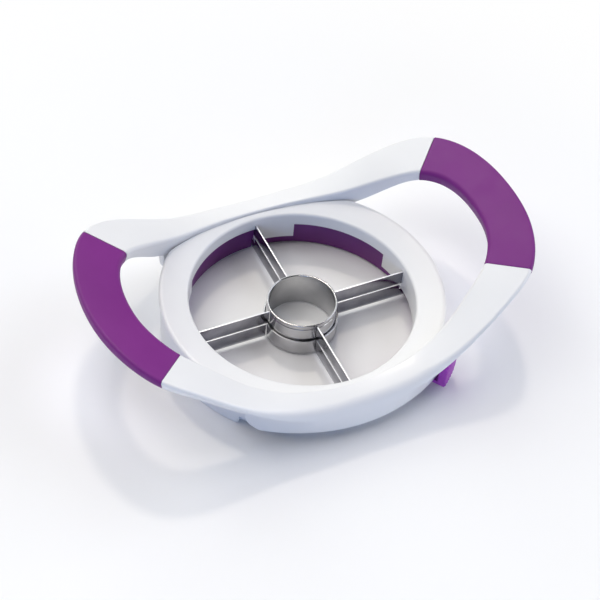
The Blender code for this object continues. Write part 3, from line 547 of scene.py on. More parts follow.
# %% [markdown]
# A closed cubic curve passes through the places. Its weights come from a small set of equations, one
# for each place, and any point between two places is then a blend of the four nearest weights.
# %% The loop's curves
def whole_loop(quarter, mirror_x, mirror_y):
    values = list(quarter)
    values += [value * mirror_y for value in reversed(quarter[:-1])]
    values += [value * mirror_x for value in reversed(values[1:-1])]
    return np.array(values)


def curve_weights(values):
    count = len(values)
    equations = np.zeros((count, count))
    for k in range(count):
        equations[k, k] = 4.0 / 6.0
        equations[k, (k + 1) % count] = 1.0 / 6.0
        equations[k, k - 1] = 1.0 / 6.0
    return np.linalg.solve(equations, values)


def on_curve(weights, place):
    whole = math.floor(place)
    t = place - whole
    basis = ((1 - t) ** 3, 3 * t ** 3 - 6 * t ** 2 + 4, -3 * t ** 3 + 3 * t ** 2 + 3 * t + 1, t ** 3)
    return sum(part * weights[(whole + k - 1) % len(weights)] for k, part in enumerate(basis)) / 6.0


MIRRORS = ((-1, 1), (1, -1), (1, 1), (-1, 1), (1, -1), (1, 1))
LOOP_WEIGHTS = [curve_weights(whole_loop([row[k] for row in LOOP_SHARES], *MIRRORS[k]))
                for k in range(len(MIRRORS))]
SECTION_WEIGHTS = [curve_weights(whole_loop([row[k] for row in SECTION_SHARES], 1, 1))
                   for k in range(len(SECTION_SHARES[0]))]


def loop_edges(place):
    """The loop's inner and outer upper edge."""
    share = [on_curve(weights, place) for weights in LOOP_WEIGHTS]
    inner = Vector((share[0] * LOOP_INNER[0], share[1] * LOOP_INNER[1],
                    FRAME_TOP + share[2] * GRIP_RISE))
    outer = Vector((share[3] * LOOP_OUTER[0], share[4] * LOOP_OUTER[1],
                    FRAME_TOP - FRAME_SLOPE + share[5] * (GRIP_RISE + GRIP_TILT + FRAME_SLOPE)))
    return inner, outer


# %% [markdown]
# Across the loop the bar has a flat top, two rounded upper edges, a tall inner side and a full round
# belly that the fingers hold. An inset draws the whole outline inwards: the frame is thinner where
# the sleeves go over it, and the same outline then gives the sleeves' outside and their bore.
# %% Across the bar
ROUND_STEPS = 8
BELLY_STEPS = 22
QUARTER_TURN = 0.5 * pi


def turns_to(wrap, steps):
    """Even turns from none up to the wrap."""
    return [wrap * k / steps for k in range(steps + 1)]


class Section:
    """The bar cut across at a place: how wide and deep it is there, and where its points lie."""

    def __init__(self, place, inset=0.0):
        self.inner, self.outer = loop_edges(place)
        share = [on_curve(weights, place) for weights in SECTION_WEIGHTS]
        self.across = (self.outer - self.inner).normalized()
        self.down = (self.across * self.across.z - Vector((0.0, 0.0, 1.0))).normalized()
        self.width = (self.outer - self.inner).length - 2.0 * inset
        self.inner_side = share[0] * GRIP_DEPTH - inset
        self.outer_side = max(share[1] * GRIP_DEPTH - inset, LEAST_ROUND)
        self.depth = share[2] * GRIP_DEPTH - 2.0 * inset
        self.inner_round = max(share[3] * FRAME_ROUND - inset, LEAST_ROUND)
        self.outer_round = min(max(share[4] * FRAME_ROUND - inset, LEAST_ROUND), self.outer_side)
        self.fullness = share[5]
        self.start = self.inner + (self.across + self.down) * inset

    def at(self, u, v):
        return self.start + self.across * u + self.down * v

    def outer_arc(self, wrap=QUARTER_TURN):
        r = self.outer_round
        return [self.at(self.width - r + r * sin(turn), r - r * cos(turn))
                for turn in turns_to(wrap, ROUND_STEPS)]

    def inner_arc(self):
        r = self.inner_round
        return [self.at(r - r * cos(turn), r - r * sin(turn))
                for turn in turns_to(QUARTER_TURN, ROUND_STEPS)]

    def belly(self, turn):
        outward = cos(turn)
        side = self.inner_side + (self.outer_side - self.inner_side) * 0.5 * (1.0 + outward)
        reach = math.copysign(abs(outward) ** self.fullness, outward)
        return self.at(0.5 * self.width * (1.0 + reach),
                       side + (self.depth - side) * sin(turn) ** self.fullness)

    def turn_at(self, far):
        """The belly's turn this far in from the outer edge, seen from above."""
        share = 2.0 * (self.width - far / math.hypot(self.across.x, self.across.y)) / self.width - 1.0
        return math.acos(math.copysign(abs(share) ** (1.0 / self.fullness), share))

    def belly_from(self, first):
        turns = [first + (pi - first) * k / BELLY_STEPS for k in range(BELLY_STEPS)]
        return [self.belly(turn) for turn in turns] + [self.at(0.0, self.inner_side)]


def bar_ring(place, inset=0.0):
    cut = Section(place, inset)
    return cut.outer_arc() + cut.belly_from(pi / BELLY_STEPS) + cut.inner_arc()


def evenly(first, last, per_place):
    count = round((last - first) * per_place)
    return [first + (last - first) * k / count for k in range(count + 1)]


# %% [markdown]
# ## The apron of the frame
# In front and behind, the bar's outer edge runs on downwards as a curved apron that hides the ring's
# wall. Most of it stands upright, close round the ring. Higher up it leans out to meet the bar, with
# a soft bend between, so bar and apron read as one surface. Its lower corners are cut at a slope.
# %% The apron
APRON_WALL = 1.5 * MM
APRON_SINK = 0.8 * MM
APRON_FOOT = 6.0 * MM
APRON_FLARE = 3.0 * MM
APRON_END_RISE = 5.9 * MM
APRON_HALF_DEG = 45.4
APRON_FLAT_HALF_DEG = 40.0
APRON_STRAIGHT_SHARE = 0.55
APRON_END_POWER = 6
KNEE_HEIGHT = 15.1 * MM
KNEE_RADIUS = RING_RADIUS + 4.5 * MM
KNEE_BEND = 3.0 * MM
KNEE_SHARE = 0.45
FOOT_ROUND = 0.4 * MM
FACE_STEPS = 5
BEND_STEPS = 6
FOOT_STEPS = 3
FOOT_TRIES = 4


def inwards_to(edge, inward, radius):
    """How far inwards from the edge the slicer's axis is this radius away."""
    along = -edge.dot(inward)
    return along - math.sqrt(along * along - edge.x * edge.x - edge.y * edge.y + radius * radius)


def apron_foot(cut):
    """Where the apron's foot stands below a section: how far in, how high, how far round."""
    inward = Vector((cut.inner.x - cut.outer.x, cut.inner.y - cut.outer.y, 0.0)).normalized()
    reach = 0.0
    for _ in range(FOOT_TRIES):
        spot = cut.outer + inward * reach
        off = abs(90.0 - abs(degrees(math.atan2(spot.y, spot.x))))
        flare = APRON_FLARE * (off / APRON_HALF_DEG) ** 2
        reach = inwards_to(cut.outer, inward, RING_RADIUS + FIT + APRON_WALL + flare)
    slope = max(0.0, off - APRON_FLAT_HALF_DEG) / (APRON_HALF_DEG - APRON_FLAT_HALF_DEG)
    rise = APRON_STRAIGHT_SHARE * slope + (1.0 - APRON_STRAIGHT_SHARE) * slope ** APRON_END_POWER
    return inward, reach, APRON_FOOT + APRON_END_RISE * rise, off


def apron_line(cut):
    """The apron: down from the bar's outer edge, round its foot and up inside to the belly."""
    inward, reach, foot, _ = apron_foot(cut)

    def spot(far, height):
        return cut.outer + inward * far + Vector((0.0, 0.0, height - cut.outer.z))

    side = cut.outer_arc()[-1]
    lean = reach * (side.z - KNEE_HEIGHT) / (side.z - foot)
    knee = spot(max(lean, inwards_to(cut.outer, inward, KNEE_RADIUS)), KNEE_HEIGHT)
    slant = math.atan2((knee - side).dot(inward), side.z - knee.z)
    edge = cut.outer_arc(QUARTER_TURN + slant)
    toe = spot(reach, foot + FOOT_ROUND)
    above, below = (
        knee + (end - knee).normalized() * min(KNEE_BEND, KNEE_SHARE * (end - knee).length)
        for end in (edge[-1], toe))
    line = [edge[-1].lerp(above, k / FACE_STEPS) for k in range(1, FACE_STEPS)]
    for k in range(BEND_STEPS + 1):
        share = k / BEND_STEPS
        line.append(above.lerp(knee, share).lerp(knee.lerp(below, share), share))
    line += [below.lerp(toe, k / FACE_STEPS) for k in range(1, FACE_STEPS)]
    line += [spot(reach + FOOT_ROUND * (1.0 - cos(turn)),
                  foot + FOOT_ROUND * (1.0 - sin(turn)))
             for turn in turns_to(QUARTER_TURN, FOOT_STEPS)]
    inside = reach + APRON_WALL + APRON_SINK
    meets = cut.turn_at(inside)
    top = cut.belly(meets)
    line += [spot(inside, foot + (top.z - foot) * k / FACE_STEPS) for k in range(FACE_STEPS)]
    return edge, line, meets


# The apron ends between these two places, and halving finds where
APRON_REACH, too_far = 2.0, 4.0
CLOSE_ENOUGH = 0.001
while too_far - APRON_REACH > CLOSE_ENOUGH:
    middle = 0.5 * (APRON_REACH + too_far)
    if apron_foot(Section(middle))[3] < APRON_HALF_DEG:
        APRON_REACH = middle
    else:
        too_far = middle
print("apron ends at place", round(APRON_REACH, 2))

# The belly's turns straight above the points of the apron's end, none the same
LEAST_TURN_SHARE = 0.003
end_cut = Section(APRON_REACH)
_, end_line, END_MEETS = apron_line(end_cut)
end_inward = apron_foot(end_cut)[0]
END_TURNS = []
for k, point in enumerate(end_line):
    turn = min(end_cut.turn_at((point - end_cut.outer).dot(end_inward)),
               END_MEETS * (1.0 - LEAST_TURN_SHARE * (len(end_line) - k)))
    last = END_TURNS[-1] if END_TURNS else 0.0
    END_TURNS.append(max(turn, last + LEAST_TURN_SHARE * END_MEETS))


def frame_ring(place, hangs, inset=0.0):
    """The frame's ring, with or without the apron, in the same number of points."""
    cut = Section(place, inset)
    if hangs:
        edge, line, meets = apron_line(cut)
    else:
        edge, line, meets = cut.outer_arc(), [cut.belly(turn) for turn in END_TURNS], END_MEETS
    return edge + line + cut.belly_from(meets) + cut.inner_arc()


# %% [markdown]
# ## The white frame
# The frame is a single moulding, so it is swept as one: bar and apron in front and behind, the bar
# alone on the way to the grips, and a thinner core under each sleeve. Where the outline changes at
# once, two rings stand at one place or close together, which keeps the seams crisp. The seat for
# the cutting ring and four screw bosses come last.
# %% The white frame
HALF_ROUND = 2 * LAST_PLACE
RIGHT_SEAMS = (SEAM_PLACE, HALF_ROUND - SEAM_PLACE)
LEFT_SEAMS = (HALF_ROUND + SEAM_PLACE, PLACES_ROUND - SEAM_PLACE)
CORE_INSET = SLEEVE_WALL + SLEEVE_GAP
BAR_STEPS = 8
APRON_STEPS = 2 * BAR_STEPS
APRON_SIDE = 0.02
PLATE_UNDERSIDE = 18.3 * MM
DECK_UNDERSIDE = 16.5 * MM
SCREW_CIRCLE = RING_RADIUS - 4.2 * MM
FRAME_SCREWS = [polar(SCREW_CIRCLE, angle) for angle in (74.0, 106.0, 254.0, 286.0)]
FRAME_BOSS_RADIUS = 1.9 * MM
FRAME_SCREW_LENGTH = 3.2 * MM
BORE_RADIUS = 1.3 * MM
OVERRUN = 4.0 * MM

frame_rings = []
for start, seams in ((0, RIGHT_SEAMS), (HALF_ROUND, LEFT_SEAMS)):
    end = start + HALF_ROUND
    stretches = (
        # first and last place, rings a place, with or without the apron, inset
        (start, start + APRON_REACH, APRON_STEPS, True, 0.0),
        (start + APRON_REACH + APRON_SIDE, seams[0], BAR_STEPS, False, 0.0),
        (*seams, BAR_STEPS, False, CORE_INSET),
        (seams[1], end - APRON_REACH - APRON_SIDE, BAR_STEPS, False, 0.0),
        (end - APRON_REACH, end, APRON_STEPS, True, 0.0))
    for first, last, steps, hangs, inset in stretches:
        frame_rings += [frame_ring(place, hangs, inset) for place in evenly(first, last, steps)]
    frame_rings.pop()
white_frame = swept("white_frame", frame_rings)
cut_out(white_frame, rod("ring_space", RING_RADIUS + FIT, -OVERRUN, PLATE_UNDERSIDE, steps=240))
for place in FRAME_SCREWS:
    join_on(white_frame, rod(
        "frame_boss", FRAME_BOSS_RADIUS, DECK_UNDERSIDE + 0.5 * FIT,
        0.5 * (PLATE_UNDERSIDE + FRAME_TOP), place))
    cut_out(white_frame, rod(
        "frame_bore", BORE_RADIUS, DECK_UNDERSIDE - OVERRUN, DECK_UNDERSIDE + FRAME_SCREW_LENGTH,
        place))
hand_over(white_frame, white_plastic, "slicer", "handle_frame")

# %% [markdown]
# ## The sleeves
# Each sleeve is a soft shell round its grip, flush with the frame. It is one sweep: along the outside
# from seam to seam, then back along the bore. The rings at both ends are drawn in a little, which
# rounds the lips and lets the seam show as a fine dark line.
# %% The sleeves
SLEEVE_STEPS = 9
LIP_ROUND = 0.35 * MM
LIP_RINGS = 4
place_length = (loop_edges(SEAM_PLACE + 1)[0] - loop_edges(SEAM_PLACE)[0]).length
SEAM_GAP = 0.5 * FIT / place_length
LIP = LIP_ROUND / place_length


def lip_rings(end, lip):
    """The rings from a sleeve's end inwards, drawn in less and less."""
    return [bar_ring(end + lip * (1 - cos(turn)), LIP_ROUND * (1 - sin(turn)))
            for turn in turns_to(QUARTER_TURN, LIP_RINGS)[:-1]]


def sleeve(name, seams, node):
    first, last = seams[0] + SEAM_GAP, seams[1] - SEAM_GAP
    rings = lip_rings(first, LIP)
    rings += [bar_ring(place) for place in evenly(first + LIP, last - LIP, SLEEVE_STEPS)]
    rings += reversed(lip_rings(last, -LIP))
    rings += [bar_ring(place, SLEEVE_WALL)
              for place in reversed(evenly(first, last, SLEEVE_STEPS // 3))]
    hand_over(swept(name, rings), purple_sleeve, "slicer", node)


sleeve("right_sleeve", RIGHT_SEAMS, "right_grip")
sleeve("left_sleeve", LEFT_SEAMS, "left_grip")

# %% [markdown]
# ## The cutting ring
# The ring is turned: a wall round the opening, a deck that rises like a dish to a lip at its edge,
# and an outer wall down to the table. The frame lies in a shallow recess of the deck, so a band of
# blocks that follows the frame's inner edge is cut away from it.
# %% The cutting ring
OPENING_RADIUS = 45.0 * MM
DECK_HEIGHT = 18.5 * MM
RECESS_FLOOR = 18.0 * MM
RING_WALL = 1.6 * MM
WALL_DRAFT = 0.4 * MM
INNER_WALL_FOOT = 5.8 * MM
RING_INSIDE = RING_RADIUS - RING_WALL - WALL_DRAFT
LIP_HEIGHT = ring_high.z + 1.2 * MM
LIP_WIDTH = 1.0 * MM
LIP_REACH = 0.7 * MM
LIP_THICKNESS = 1.4 * MM
LIP_ROOT = RECESS_FLOOR + 0.1 * MM
WALL_UPRIGHT = DECK_HEIGHT - 5.0 * MM
RECESS_REACH_MM = 22
RECESS_STEPS = 5

white_ring = spun("white_ring", rounded((
    (OPENING_RADIUS, DECK_HEIGHT, 1.3 * MM),
    (RING_RADIUS - LIP_WIDTH, LIP_HEIGHT, 1.0 * MM),
    (RING_RADIUS + LIP_REACH, LIP_HEIGHT, 0.9 * MM),
    (RING_RADIUS + LIP_REACH, LIP_HEIGHT - LIP_THICKNESS, 0.6 * MM),
    (RING_RADIUS, LIP_ROOT, 0.3 * MM),
    (RING_RADIUS, WALL_UPRIGHT, 1.0 * MM),
    (RING_RADIUS - WALL_DRAFT, ring_low.z, 0.35 * MM),
    (RING_INSIDE, ring_low.z, 0.35 * MM),
    (RING_RADIUS - RING_WALL, DECK_UNDERSIDE, 0.6 * MM),
    (OPENING_RADIUS + RING_WALL, DECK_UNDERSIDE, 0.6 * MM),
    (OPENING_RADIUS + RING_WALL, INNER_WALL_FOOT, 0.35 * MM),
    (OPENING_RADIUS, INNER_WALL_FOOT, 0.35 * MM))))

recess_rings = []
for place in evenly(0, PLACES_ROUND, RECESS_STEPS)[:-1]:
    edge, _ = loop_edges(place)
    outward = Vector((edge.x, edge.y, 0.0)).normalized()
    near = Vector((edge.x, edge.y, 0.0)) - outward * FIT
    far = near + outward * RECESS_REACH_MM * MM
    foot, top = (Vector((0.0, 0.0, height)) for height in (RECESS_FLOOR, LIP_HEIGHT + OVERRUN))
    recess_rings.append([near + foot, far + foot, far + top, near + top])
cut_out(white_ring, swept("frame_recess", recess_rings))

# %% [markdown]
# Windows in the inner wall let juice out and show the purple ring behind. The slot in the outer wall
# gives the lever its way. Both are cut with bent blocks. Fine slots hold the blades' ends.
# %% Windows and slots of the ring
WINDOW_HEIGHT = 7.2 * MM
WINDOW_STARTS_DEG = (17.0, 90.0, 197.0, 270.0)
WINDOW_SPAN_DEG = 52.0
LEVER_SLOT_HEIGHT = 4.6 * MM
LEVER_SLOT_DEG = (-139.6, -42.0)
SLOT_CORNER = 2.3 * MM
SLOT_LENGTH = 6 * MM
blade_low, blade_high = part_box("upper_blade_1")

for start in WINDOW_STARTS_DEG:
    cut_out(white_ring, arc_block(
        "window", OPENING_RADIUS - OVERRUN, OPENING_RADIUS + RING_WALL + FIT,
        INNER_WALL_FOOT - OVERRUN, INNER_WALL_FOOT + WINDOW_HEIGHT, start, start + WINDOW_SPAN_DEG))
cut_out(white_ring, arc_block(
    "lever_slot", RING_INSIDE - FIT, RING_RADIUS + OVERRUN, -OVERRUN, LEVER_SLOT_HEIGHT,
    *LEVER_SLOT_DEG))
for end_deg, away in zip(LEVER_SLOT_DEG, (-1, 1)):
    back_deg = end_deg + away * degrees(SLOT_CORNER / RING_RADIUS)
    corner = arc_block("slot_corner", RING_INSIDE - FIT, RING_RADIUS + OVERRUN, -OVERRUN,
                       SLOT_CORNER, back_deg, end_deg - 0.5 * away, step_deg=0.5)
    cut_out(corner, added(
        "slot_rounding", bpy.ops.mesh.primitive_cylinder_add, vertices=64, radius=SLOT_CORNER,
        depth=6 * OVERRUN, location=polar(RING_RADIUS, back_deg, SLOT_CORNER),
        rotation=(0.0, QUARTER_TURN, radians(back_deg))))
    cut_out(white_ring, corner)
for k in range(4):
    size = (SLOT_LENGTH, blade_high.y - blade_low.y + 0.3 * FIT,
            blade_high.z - blade_low.z + FIT)
    middle = polar(OPENING_RADIUS, 90 * k, 0.5 * (blade_low.z + blade_high.z))
    cut_out(white_ring, cube("blade_slot", size, middle, 90 * k))

# %% [markdown]
# Below the deck stand the bosses for the retaining ring's screws, each with a rib to the wall, and
# the post that stops the turning ring. They are joined on before their bores are cut.
# %% Bosses under the deck
RING_SCREW_DEG = (-25.0, 35.0, 145.0, 205.0)
BOSS_RADIUS = 2.0 * MM
BOSS_FOOT = 2.5 * MM
BOSS_TOP = DECK_UNDERSIDE + 0.8 * MM
RIB_TOP = DECK_UNDERSIDE + 0.4 * MM
RIB_HALF_DEG = degrees(0.5 * RING_WALL / SCREW_CIRCLE)
BOSS_BORE_TOP = 7.5 * MM
WALL_BITE = RING_INSIDE + 0.6 * RING_WALL
STOP_INNER = 49.9 * MM
STOP_HEIGHT = 5.5 * MM
STOP_DEG = (69.0, 72.0)

for angle in RING_SCREW_DEG:
    join_on(white_ring, rod("boss", BOSS_RADIUS, BOSS_FOOT, BOSS_TOP, polar(SCREW_CIRCLE, angle)))
    join_on(white_ring, arc_block(
        "boss_rib", SCREW_CIRCLE, WALL_BITE, BOSS_FOOT, RIB_TOP, angle - RIB_HALF_DEG,
        angle + RIB_HALF_DEG))
join_on(white_ring, arc_block(
    "stop_post", STOP_INNER, WALL_BITE, BOSS_FOOT, BOSS_FOOT + STOP_HEIGHT, *STOP_DEG))
for angle in RING_SCREW_DEG:
    cut_out(white_ring, rod(
        "boss_bore", BORE_RADIUS, BOSS_FOOT - OVERRUN, BOSS_BORE_TOP, polar(SCREW_CIRCLE, angle)))
for place in FRAME_SCREWS:
    cut_out(white_ring, rod(
        "deck_hole", FRAME_BOSS_RADIUS + FIT, DECK_UNDERSIDE - OVERRUN, RECESS_FLOOR + OVERRUN,
        place))
hand_over(white_ring, white_plastic, "slicer", "cutting_ring")

# %% [markdown]
# ## The blades
# A blade is a strip on edge, ground to a thin edge below. A box is cut level where the grind starts,
# and its lower face is then squeezed across the strip. The box's own edges get a hair of rounding,
# and the faces that look up are marked: they are duller, as cut steel is, and a painted highlight
# in a pale colour draws a bright line along each blade. One blade of each set is copied round the
# axis.
# %% The blades
GRIND_HEIGHT = 1.6 * MM
EDGE_SHARE = 1.0 / 6.0
BLADE_BEVEL = 0.09 * MM
# A painted highlight: this pale colour on the upward faces draws a bright line along each blade.
PAINTED_HIGHLIGHT_COLOUR = (0.93, 0.93, 0.95, 1.0)
CUT_ROUGHNESS = 0.55
FACES_UP = 0.35          # least upward part of a marked face's normal


def blended(tree, kind, mark, socket, value):
    """The socket keeps what it is fed, except for this value where the mark is one."""
    mix = add_node(tree, "Mix", {"Factor": mark, "A": socket.links[0].from_socket, "B": value},
                   data_type=kind)
    tree.links.new(mix.outputs["Result"], socket)


def mark_cut_edge_and_highlight(piece):
    """A mark of one on each face that looks up: it gets the duller roughness and the painted
    highlight.
    """
    mark = piece.data.attributes.new(name="cut_edge_and_highlight", type="FLOAT", domain="FACE")
    for face in piece.data.polygons:
        mark.data[face.index].value = float(face.normal.z > FACES_UP)


tree = blade_steel.node_tree
cut_edge_and_highlight = add_node(tree, "Attribute", {}, attribute_name="cut_edge_and_highlight").outputs["Fac"]
skin = tree.nodes["Principled BSDF"].inputs
# The pale colour on marked faces is a painted highlight; their roughness is that of cut steel.
blended(tree, "RGBA", cut_edge_and_highlight, skin["Base Color"], PAINTED_HIGHLIGHT_COLOUR)
blended(tree, "FLOAT", cut_edge_and_highlight, skin["Roughness"], CUT_ROUGHNESS)


def map_along(piece):
    """A map with the blade's length one way and its height the other, for the streaks."""
    sheet = piece.data.uv_layers.new(name="along")
    for corner in piece.data.loops:
        place = piece.data.vertices[corner.vertex_index].co
        sheet.data[corner.index].uv = (place.x, place.z + place.y)


def strip(name, low, high):
    """A ground blade along +X between two corners."""
    made = cube(name, high - low, 0.5 * (low + high))
    bpy.ops.object.transform_apply()
    bpy.ops.object.mode_set(mode="EDIT")
    bpy.ops.mesh.select_all(action="SELECT")
    bpy.ops.mesh.bisect(plane_co=(0.0, 0.0, low.z + GRIND_HEIGHT), plane_no=(0.0, 0.0, 1.0))
    bpy.ops.mesh.select_all(action="DESELECT")
    edit = bmesh.from_edit_mesh(made.data)
    for point in edit.verts:
        point.select_set(point.co.z < low.z + 0.5 * GRIND_HEIGHT)
    edit.select_flush(True)
    bpy.ops.transform.resize(value=(1.0, EDGE_SHARE, 1.0), center_override=(0.0, 0.0, low.z))
    bpy.ops.object.mode_set(mode="OBJECT")
    bevelled(made, BLADE_BEVEL, 2, 60)
    return made


def blade_set(name, model, nodes, body):
    """Copies of the model blade, a quarter turn apart."""
    map_along(model)
    mark_cut_edge_and_highlight(model)
    for k, made in four_of(model, name):
        made.rotation_euler.z = radians(90 * k)
        hand_over(made, blade_steel, body, nodes % (k + 1))


blade_set("upper_strip", strip("upper_model", blade_low, blade_high), "upper_blade_%d", "slicer")

# %% [markdown]
# The lower blades reach further out: a low tab at their end goes through the turning ring. It is
# made as a second, lower strip and joined to the first.
# %% The lower blades
lower_low, lower_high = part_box("lower_blade_1")
TAB_TOP = 5.5 * MM
TAB_LAP = 1.0 * MM
WALL_CLEARANCE = 0.6 * MM
lower_end = Vector((OPENING_RADIUS - WALL_CLEARANCE, lower_high.y, lower_high.z))
lower_model = strip("lower_model", lower_low, lower_end)
tab_low = Vector((lower_end.x - TAB_LAP, lower_low.y, lower_low.z))
tab = strip("tab_model", tab_low, Vector((lower_high.x, lower_high.y, TAB_TOP)))
join_on(lower_model, tab)
blade_set("lower_strip", lower_model, "lower_blade_%d", "blade_carrier")

# %% [markdown]
# ## The corer tube and its hub
# The tube is turned steel, ground to an edge at its foot. A fine groove below its rolled rim shows
# as two bright rings. The hub below the upper blades is a plain collar that turns round the tube.
# %% The corer tube and the lower hub
tube_low, tube_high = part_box("corer_tube")
hub_low, hub_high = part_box("lower_hub")
TUBE_RADIUS = tube_high.x
TUBE_BORE = TUBE_RADIUS - 0.8 * MM
RIM_HEIGHT = 1.5 * MM
GROOVE = 0.18 * MM
GROOVE_ROUND = 0.08 * MM
EDGE_THICKNESS = 0.06 * MM
TURNED_STEPS = 128

tube = spun("steel_tube", rounded((
    (TUBE_BORE, tube_high.z, 0.3 * MM),
    (TUBE_RADIUS, tube_high.z, 0.3 * MM),
    (TUBE_RADIUS, tube_high.z - RIM_HEIGHT, GROOVE_ROUND),
    (TUBE_RADIUS - GROOVE, tube_high.z - RIM_HEIGHT - GROOVE, GROOVE_ROUND),
    (TUBE_RADIUS - GROOVE, tube_high.z - RIM_HEIGHT - 3 * GROOVE, GROOVE_ROUND),
    (TUBE_RADIUS, tube_high.z - RIM_HEIGHT - 4 * GROOVE, GROOVE_ROUND),
    (TUBE_RADIUS, tube_low.z + GRIND_HEIGHT, 0.1 * MM),
    (TUBE_BORE + EDGE_THICKNESS, tube_low.z, 0.0),
    (TUBE_BORE, tube_low.z, 0.0)), steps=4), steps=TURNED_STEPS)
hand_over(tube, tube_steel, "slicer", "corer_tube")

HUB_BORE = TUBE_RADIUS + FIT
hub = spun("steel_hub", rounded((
    (HUB_BORE, hub_high.z, 0.15 * MM), (hub_high.x, hub_high.z, 0.2 * MM),
    (hub_high.x, hub_low.z, 0.2 * MM), (HUB_BORE, hub_low.z, 0.15 * MM)),
    steps=4), steps=TURNED_STEPS)
hand_over(hub, tube_steel, "blade_carrier", "lower_hub")

# %% [markdown]
# ## The turning ring
# The ring that carries the lower blades is a thin purple wall with a flange, by which the retaining
# ring holds it. The flange has a fork for the lever and a lug that meets the stop.
# %% The turning ring
TURN_INNER = OPENING_RADIUS + RING_WALL + 0.6 * MM
TURN_OUTER = TURN_INNER + 1.2 * MM
TURN_FOOT = 0.6 * MM
TURN_TOP = DECK_UNDERSIDE - FIT
FLANGE_OUTER = TURN_OUTER + 1.2 * MM
FLANGE_FOOT = 2.5 * MM
FLANGE_TOP = 4.2 * MM
FORK_OUTER = FLANGE_OUTER + 4.4 * MM
FORK_INNER = FORK_OUTER - 3.2 * MM
LEVER_DEG = -48.8
FORK_HALF_DEG = 4.0
TONGUE_HALF_DEG = 1.7
LUG_REACH = 2.4 * MM
LUG_DEG = (118.0, 122.0)
NOTCH_RADIUS = 0.8 * MM
NOTCH_CENTRE = FLANGE_OUTER + 0.5 * MM
NOTCHES_DEG = (180.0, 225.0)

purple_ring = spun("purple_ring", rounded((
    (TURN_INNER, TURN_TOP, 0.3 * MM), (TURN_OUTER, TURN_TOP, 0.3 * MM),
    (TURN_OUTER, FLANGE_TOP, 0.25 * MM), (FLANGE_OUTER, FLANGE_TOP, 0.25 * MM),
    (FLANGE_OUTER, FLANGE_FOOT, 0.25 * MM), (TURN_OUTER, FLANGE_FOOT, 0.25 * MM),
    (TURN_OUTER, TURN_FOOT, 0.3 * MM), (TURN_INNER, TURN_FOOT, 0.3 * MM)), steps=3))
root = TURN_OUTER + 0.6 * MM


def lever_block(name, inner, outer, half_deg, over=0.0):
    """A block as high as the flange, round the way the lever points."""
    return arc_block(name, inner, outer, FLANGE_FOOT - over, FLANGE_TOP + over,
                     LEVER_DEG - half_deg, LEVER_DEG + half_deg)


join_on(purple_ring, lever_block("fork", root, FORK_OUTER, FORK_HALF_DEG))
join_on(purple_ring, arc_block(
    "lug", root, FLANGE_OUTER + LUG_REACH, FLANGE_FOOT, FLANGE_TOP, *LUG_DEG))
mouth_deg = TONGUE_HALF_DEG + degrees(FIT / FORK_INNER)
cut_out(purple_ring, lever_block("fork_mouth", FORK_INNER, FORK_OUTER + OVERRUN, mouth_deg,
                                 over=OVERRUN))
for angle in NOTCHES_DEG:
    cut_out(purple_ring, rod(
        "detent_notch", NOTCH_RADIUS, FLANGE_FOOT - OVERRUN, FLANGE_TOP + OVERRUN,
        polar(NOTCH_CENTRE, angle)))
for k in range(4):
    size = (SLOT_LENGTH, lower_high.y - lower_low.y + 0.3 * FIT, 2 * INNER_WALL_FOOT)
    cut_out(purple_ring, cube("tab_slot", size, polar(TURN_INNER, 90 * k), 90 * k))
hand_over(purple_ring, dark_purple, "blade_carrier", "turning_ring")

# %% [markdown]
# ## The lever
# The thumb pushes a small ribbed pad, swept along a short arc. Each ring of the sweep is a rounded
# box. Its outer side goes in and out for the ribs, and it is lower at both ends for round corners.
# An arm with a narrow tongue joins the pad to the fork.
# %% The lever
_, lever_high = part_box("lever")
PAD_HALF_DEG = 5.5
PAD_INNER = 61.3 * MM
PAD_OUTER = 64.5 * MM
PAD_ROUND = 0.8 * MM
PAD_CORNER = 2.2 * MM
PAD_RIB = 0.5 * MM
PAD_RIBS = 7
PAD_FOOT = 3.0 * MM
PAD_STEPS = 10 * PAD_RIBS
PAD_END_SHARE = 0.96      # the part of a corner's quarter round that is drawn
ARM_BITE = 0.8 * MM

corner_deg = degrees(PAD_CORNER / PAD_OUTER)
pad_rings = []
for k in range(PAD_STEPS + 1):
    off = PAD_HALF_DEG * (2.0 * k / PAD_STEPS - 1.0)
    into = max(0.0, abs(off) - (PAD_HALF_DEG - corner_deg)) / corner_deg
    drop = PAD_CORNER * (1.0 - math.sqrt(1.0 - PAD_END_SHARE * into ** 2))
    groove = 0.5 * (1.0 - cos(2.0 * pi * PAD_RIBS * k / PAD_STEPS))
    outer = PAD_OUTER - PAD_RIB * groove ** 2
    top, foot = lever_high.z - drop, PAD_FOOT + drop
    box = rounded(((PAD_INNER, top, PAD_ROUND), (outer, top, PAD_ROUND),
                   (outer, foot, PAD_ROUND), (PAD_INNER, foot, PAD_ROUND)))
    pad_rings.append([polar(radius, LEVER_DEG + off, height) for radius, height in box])
pad = swept("lever_pad", pad_rings, closed=False)
bevelled(pad, 0.3 * MM, 3, 50)
join_on(pad, lever_block("arm", FORK_OUTER + FIT, PAD_INNER + ARM_BITE, FORK_HALF_DEG))
join_on(pad, lever_block("tongue", FORK_INNER + FIT, FORK_OUTER + ARM_BITE, TONGUE_HALF_DEG))
hand_over(pad, bright_purple, "blade_carrier", "lever")

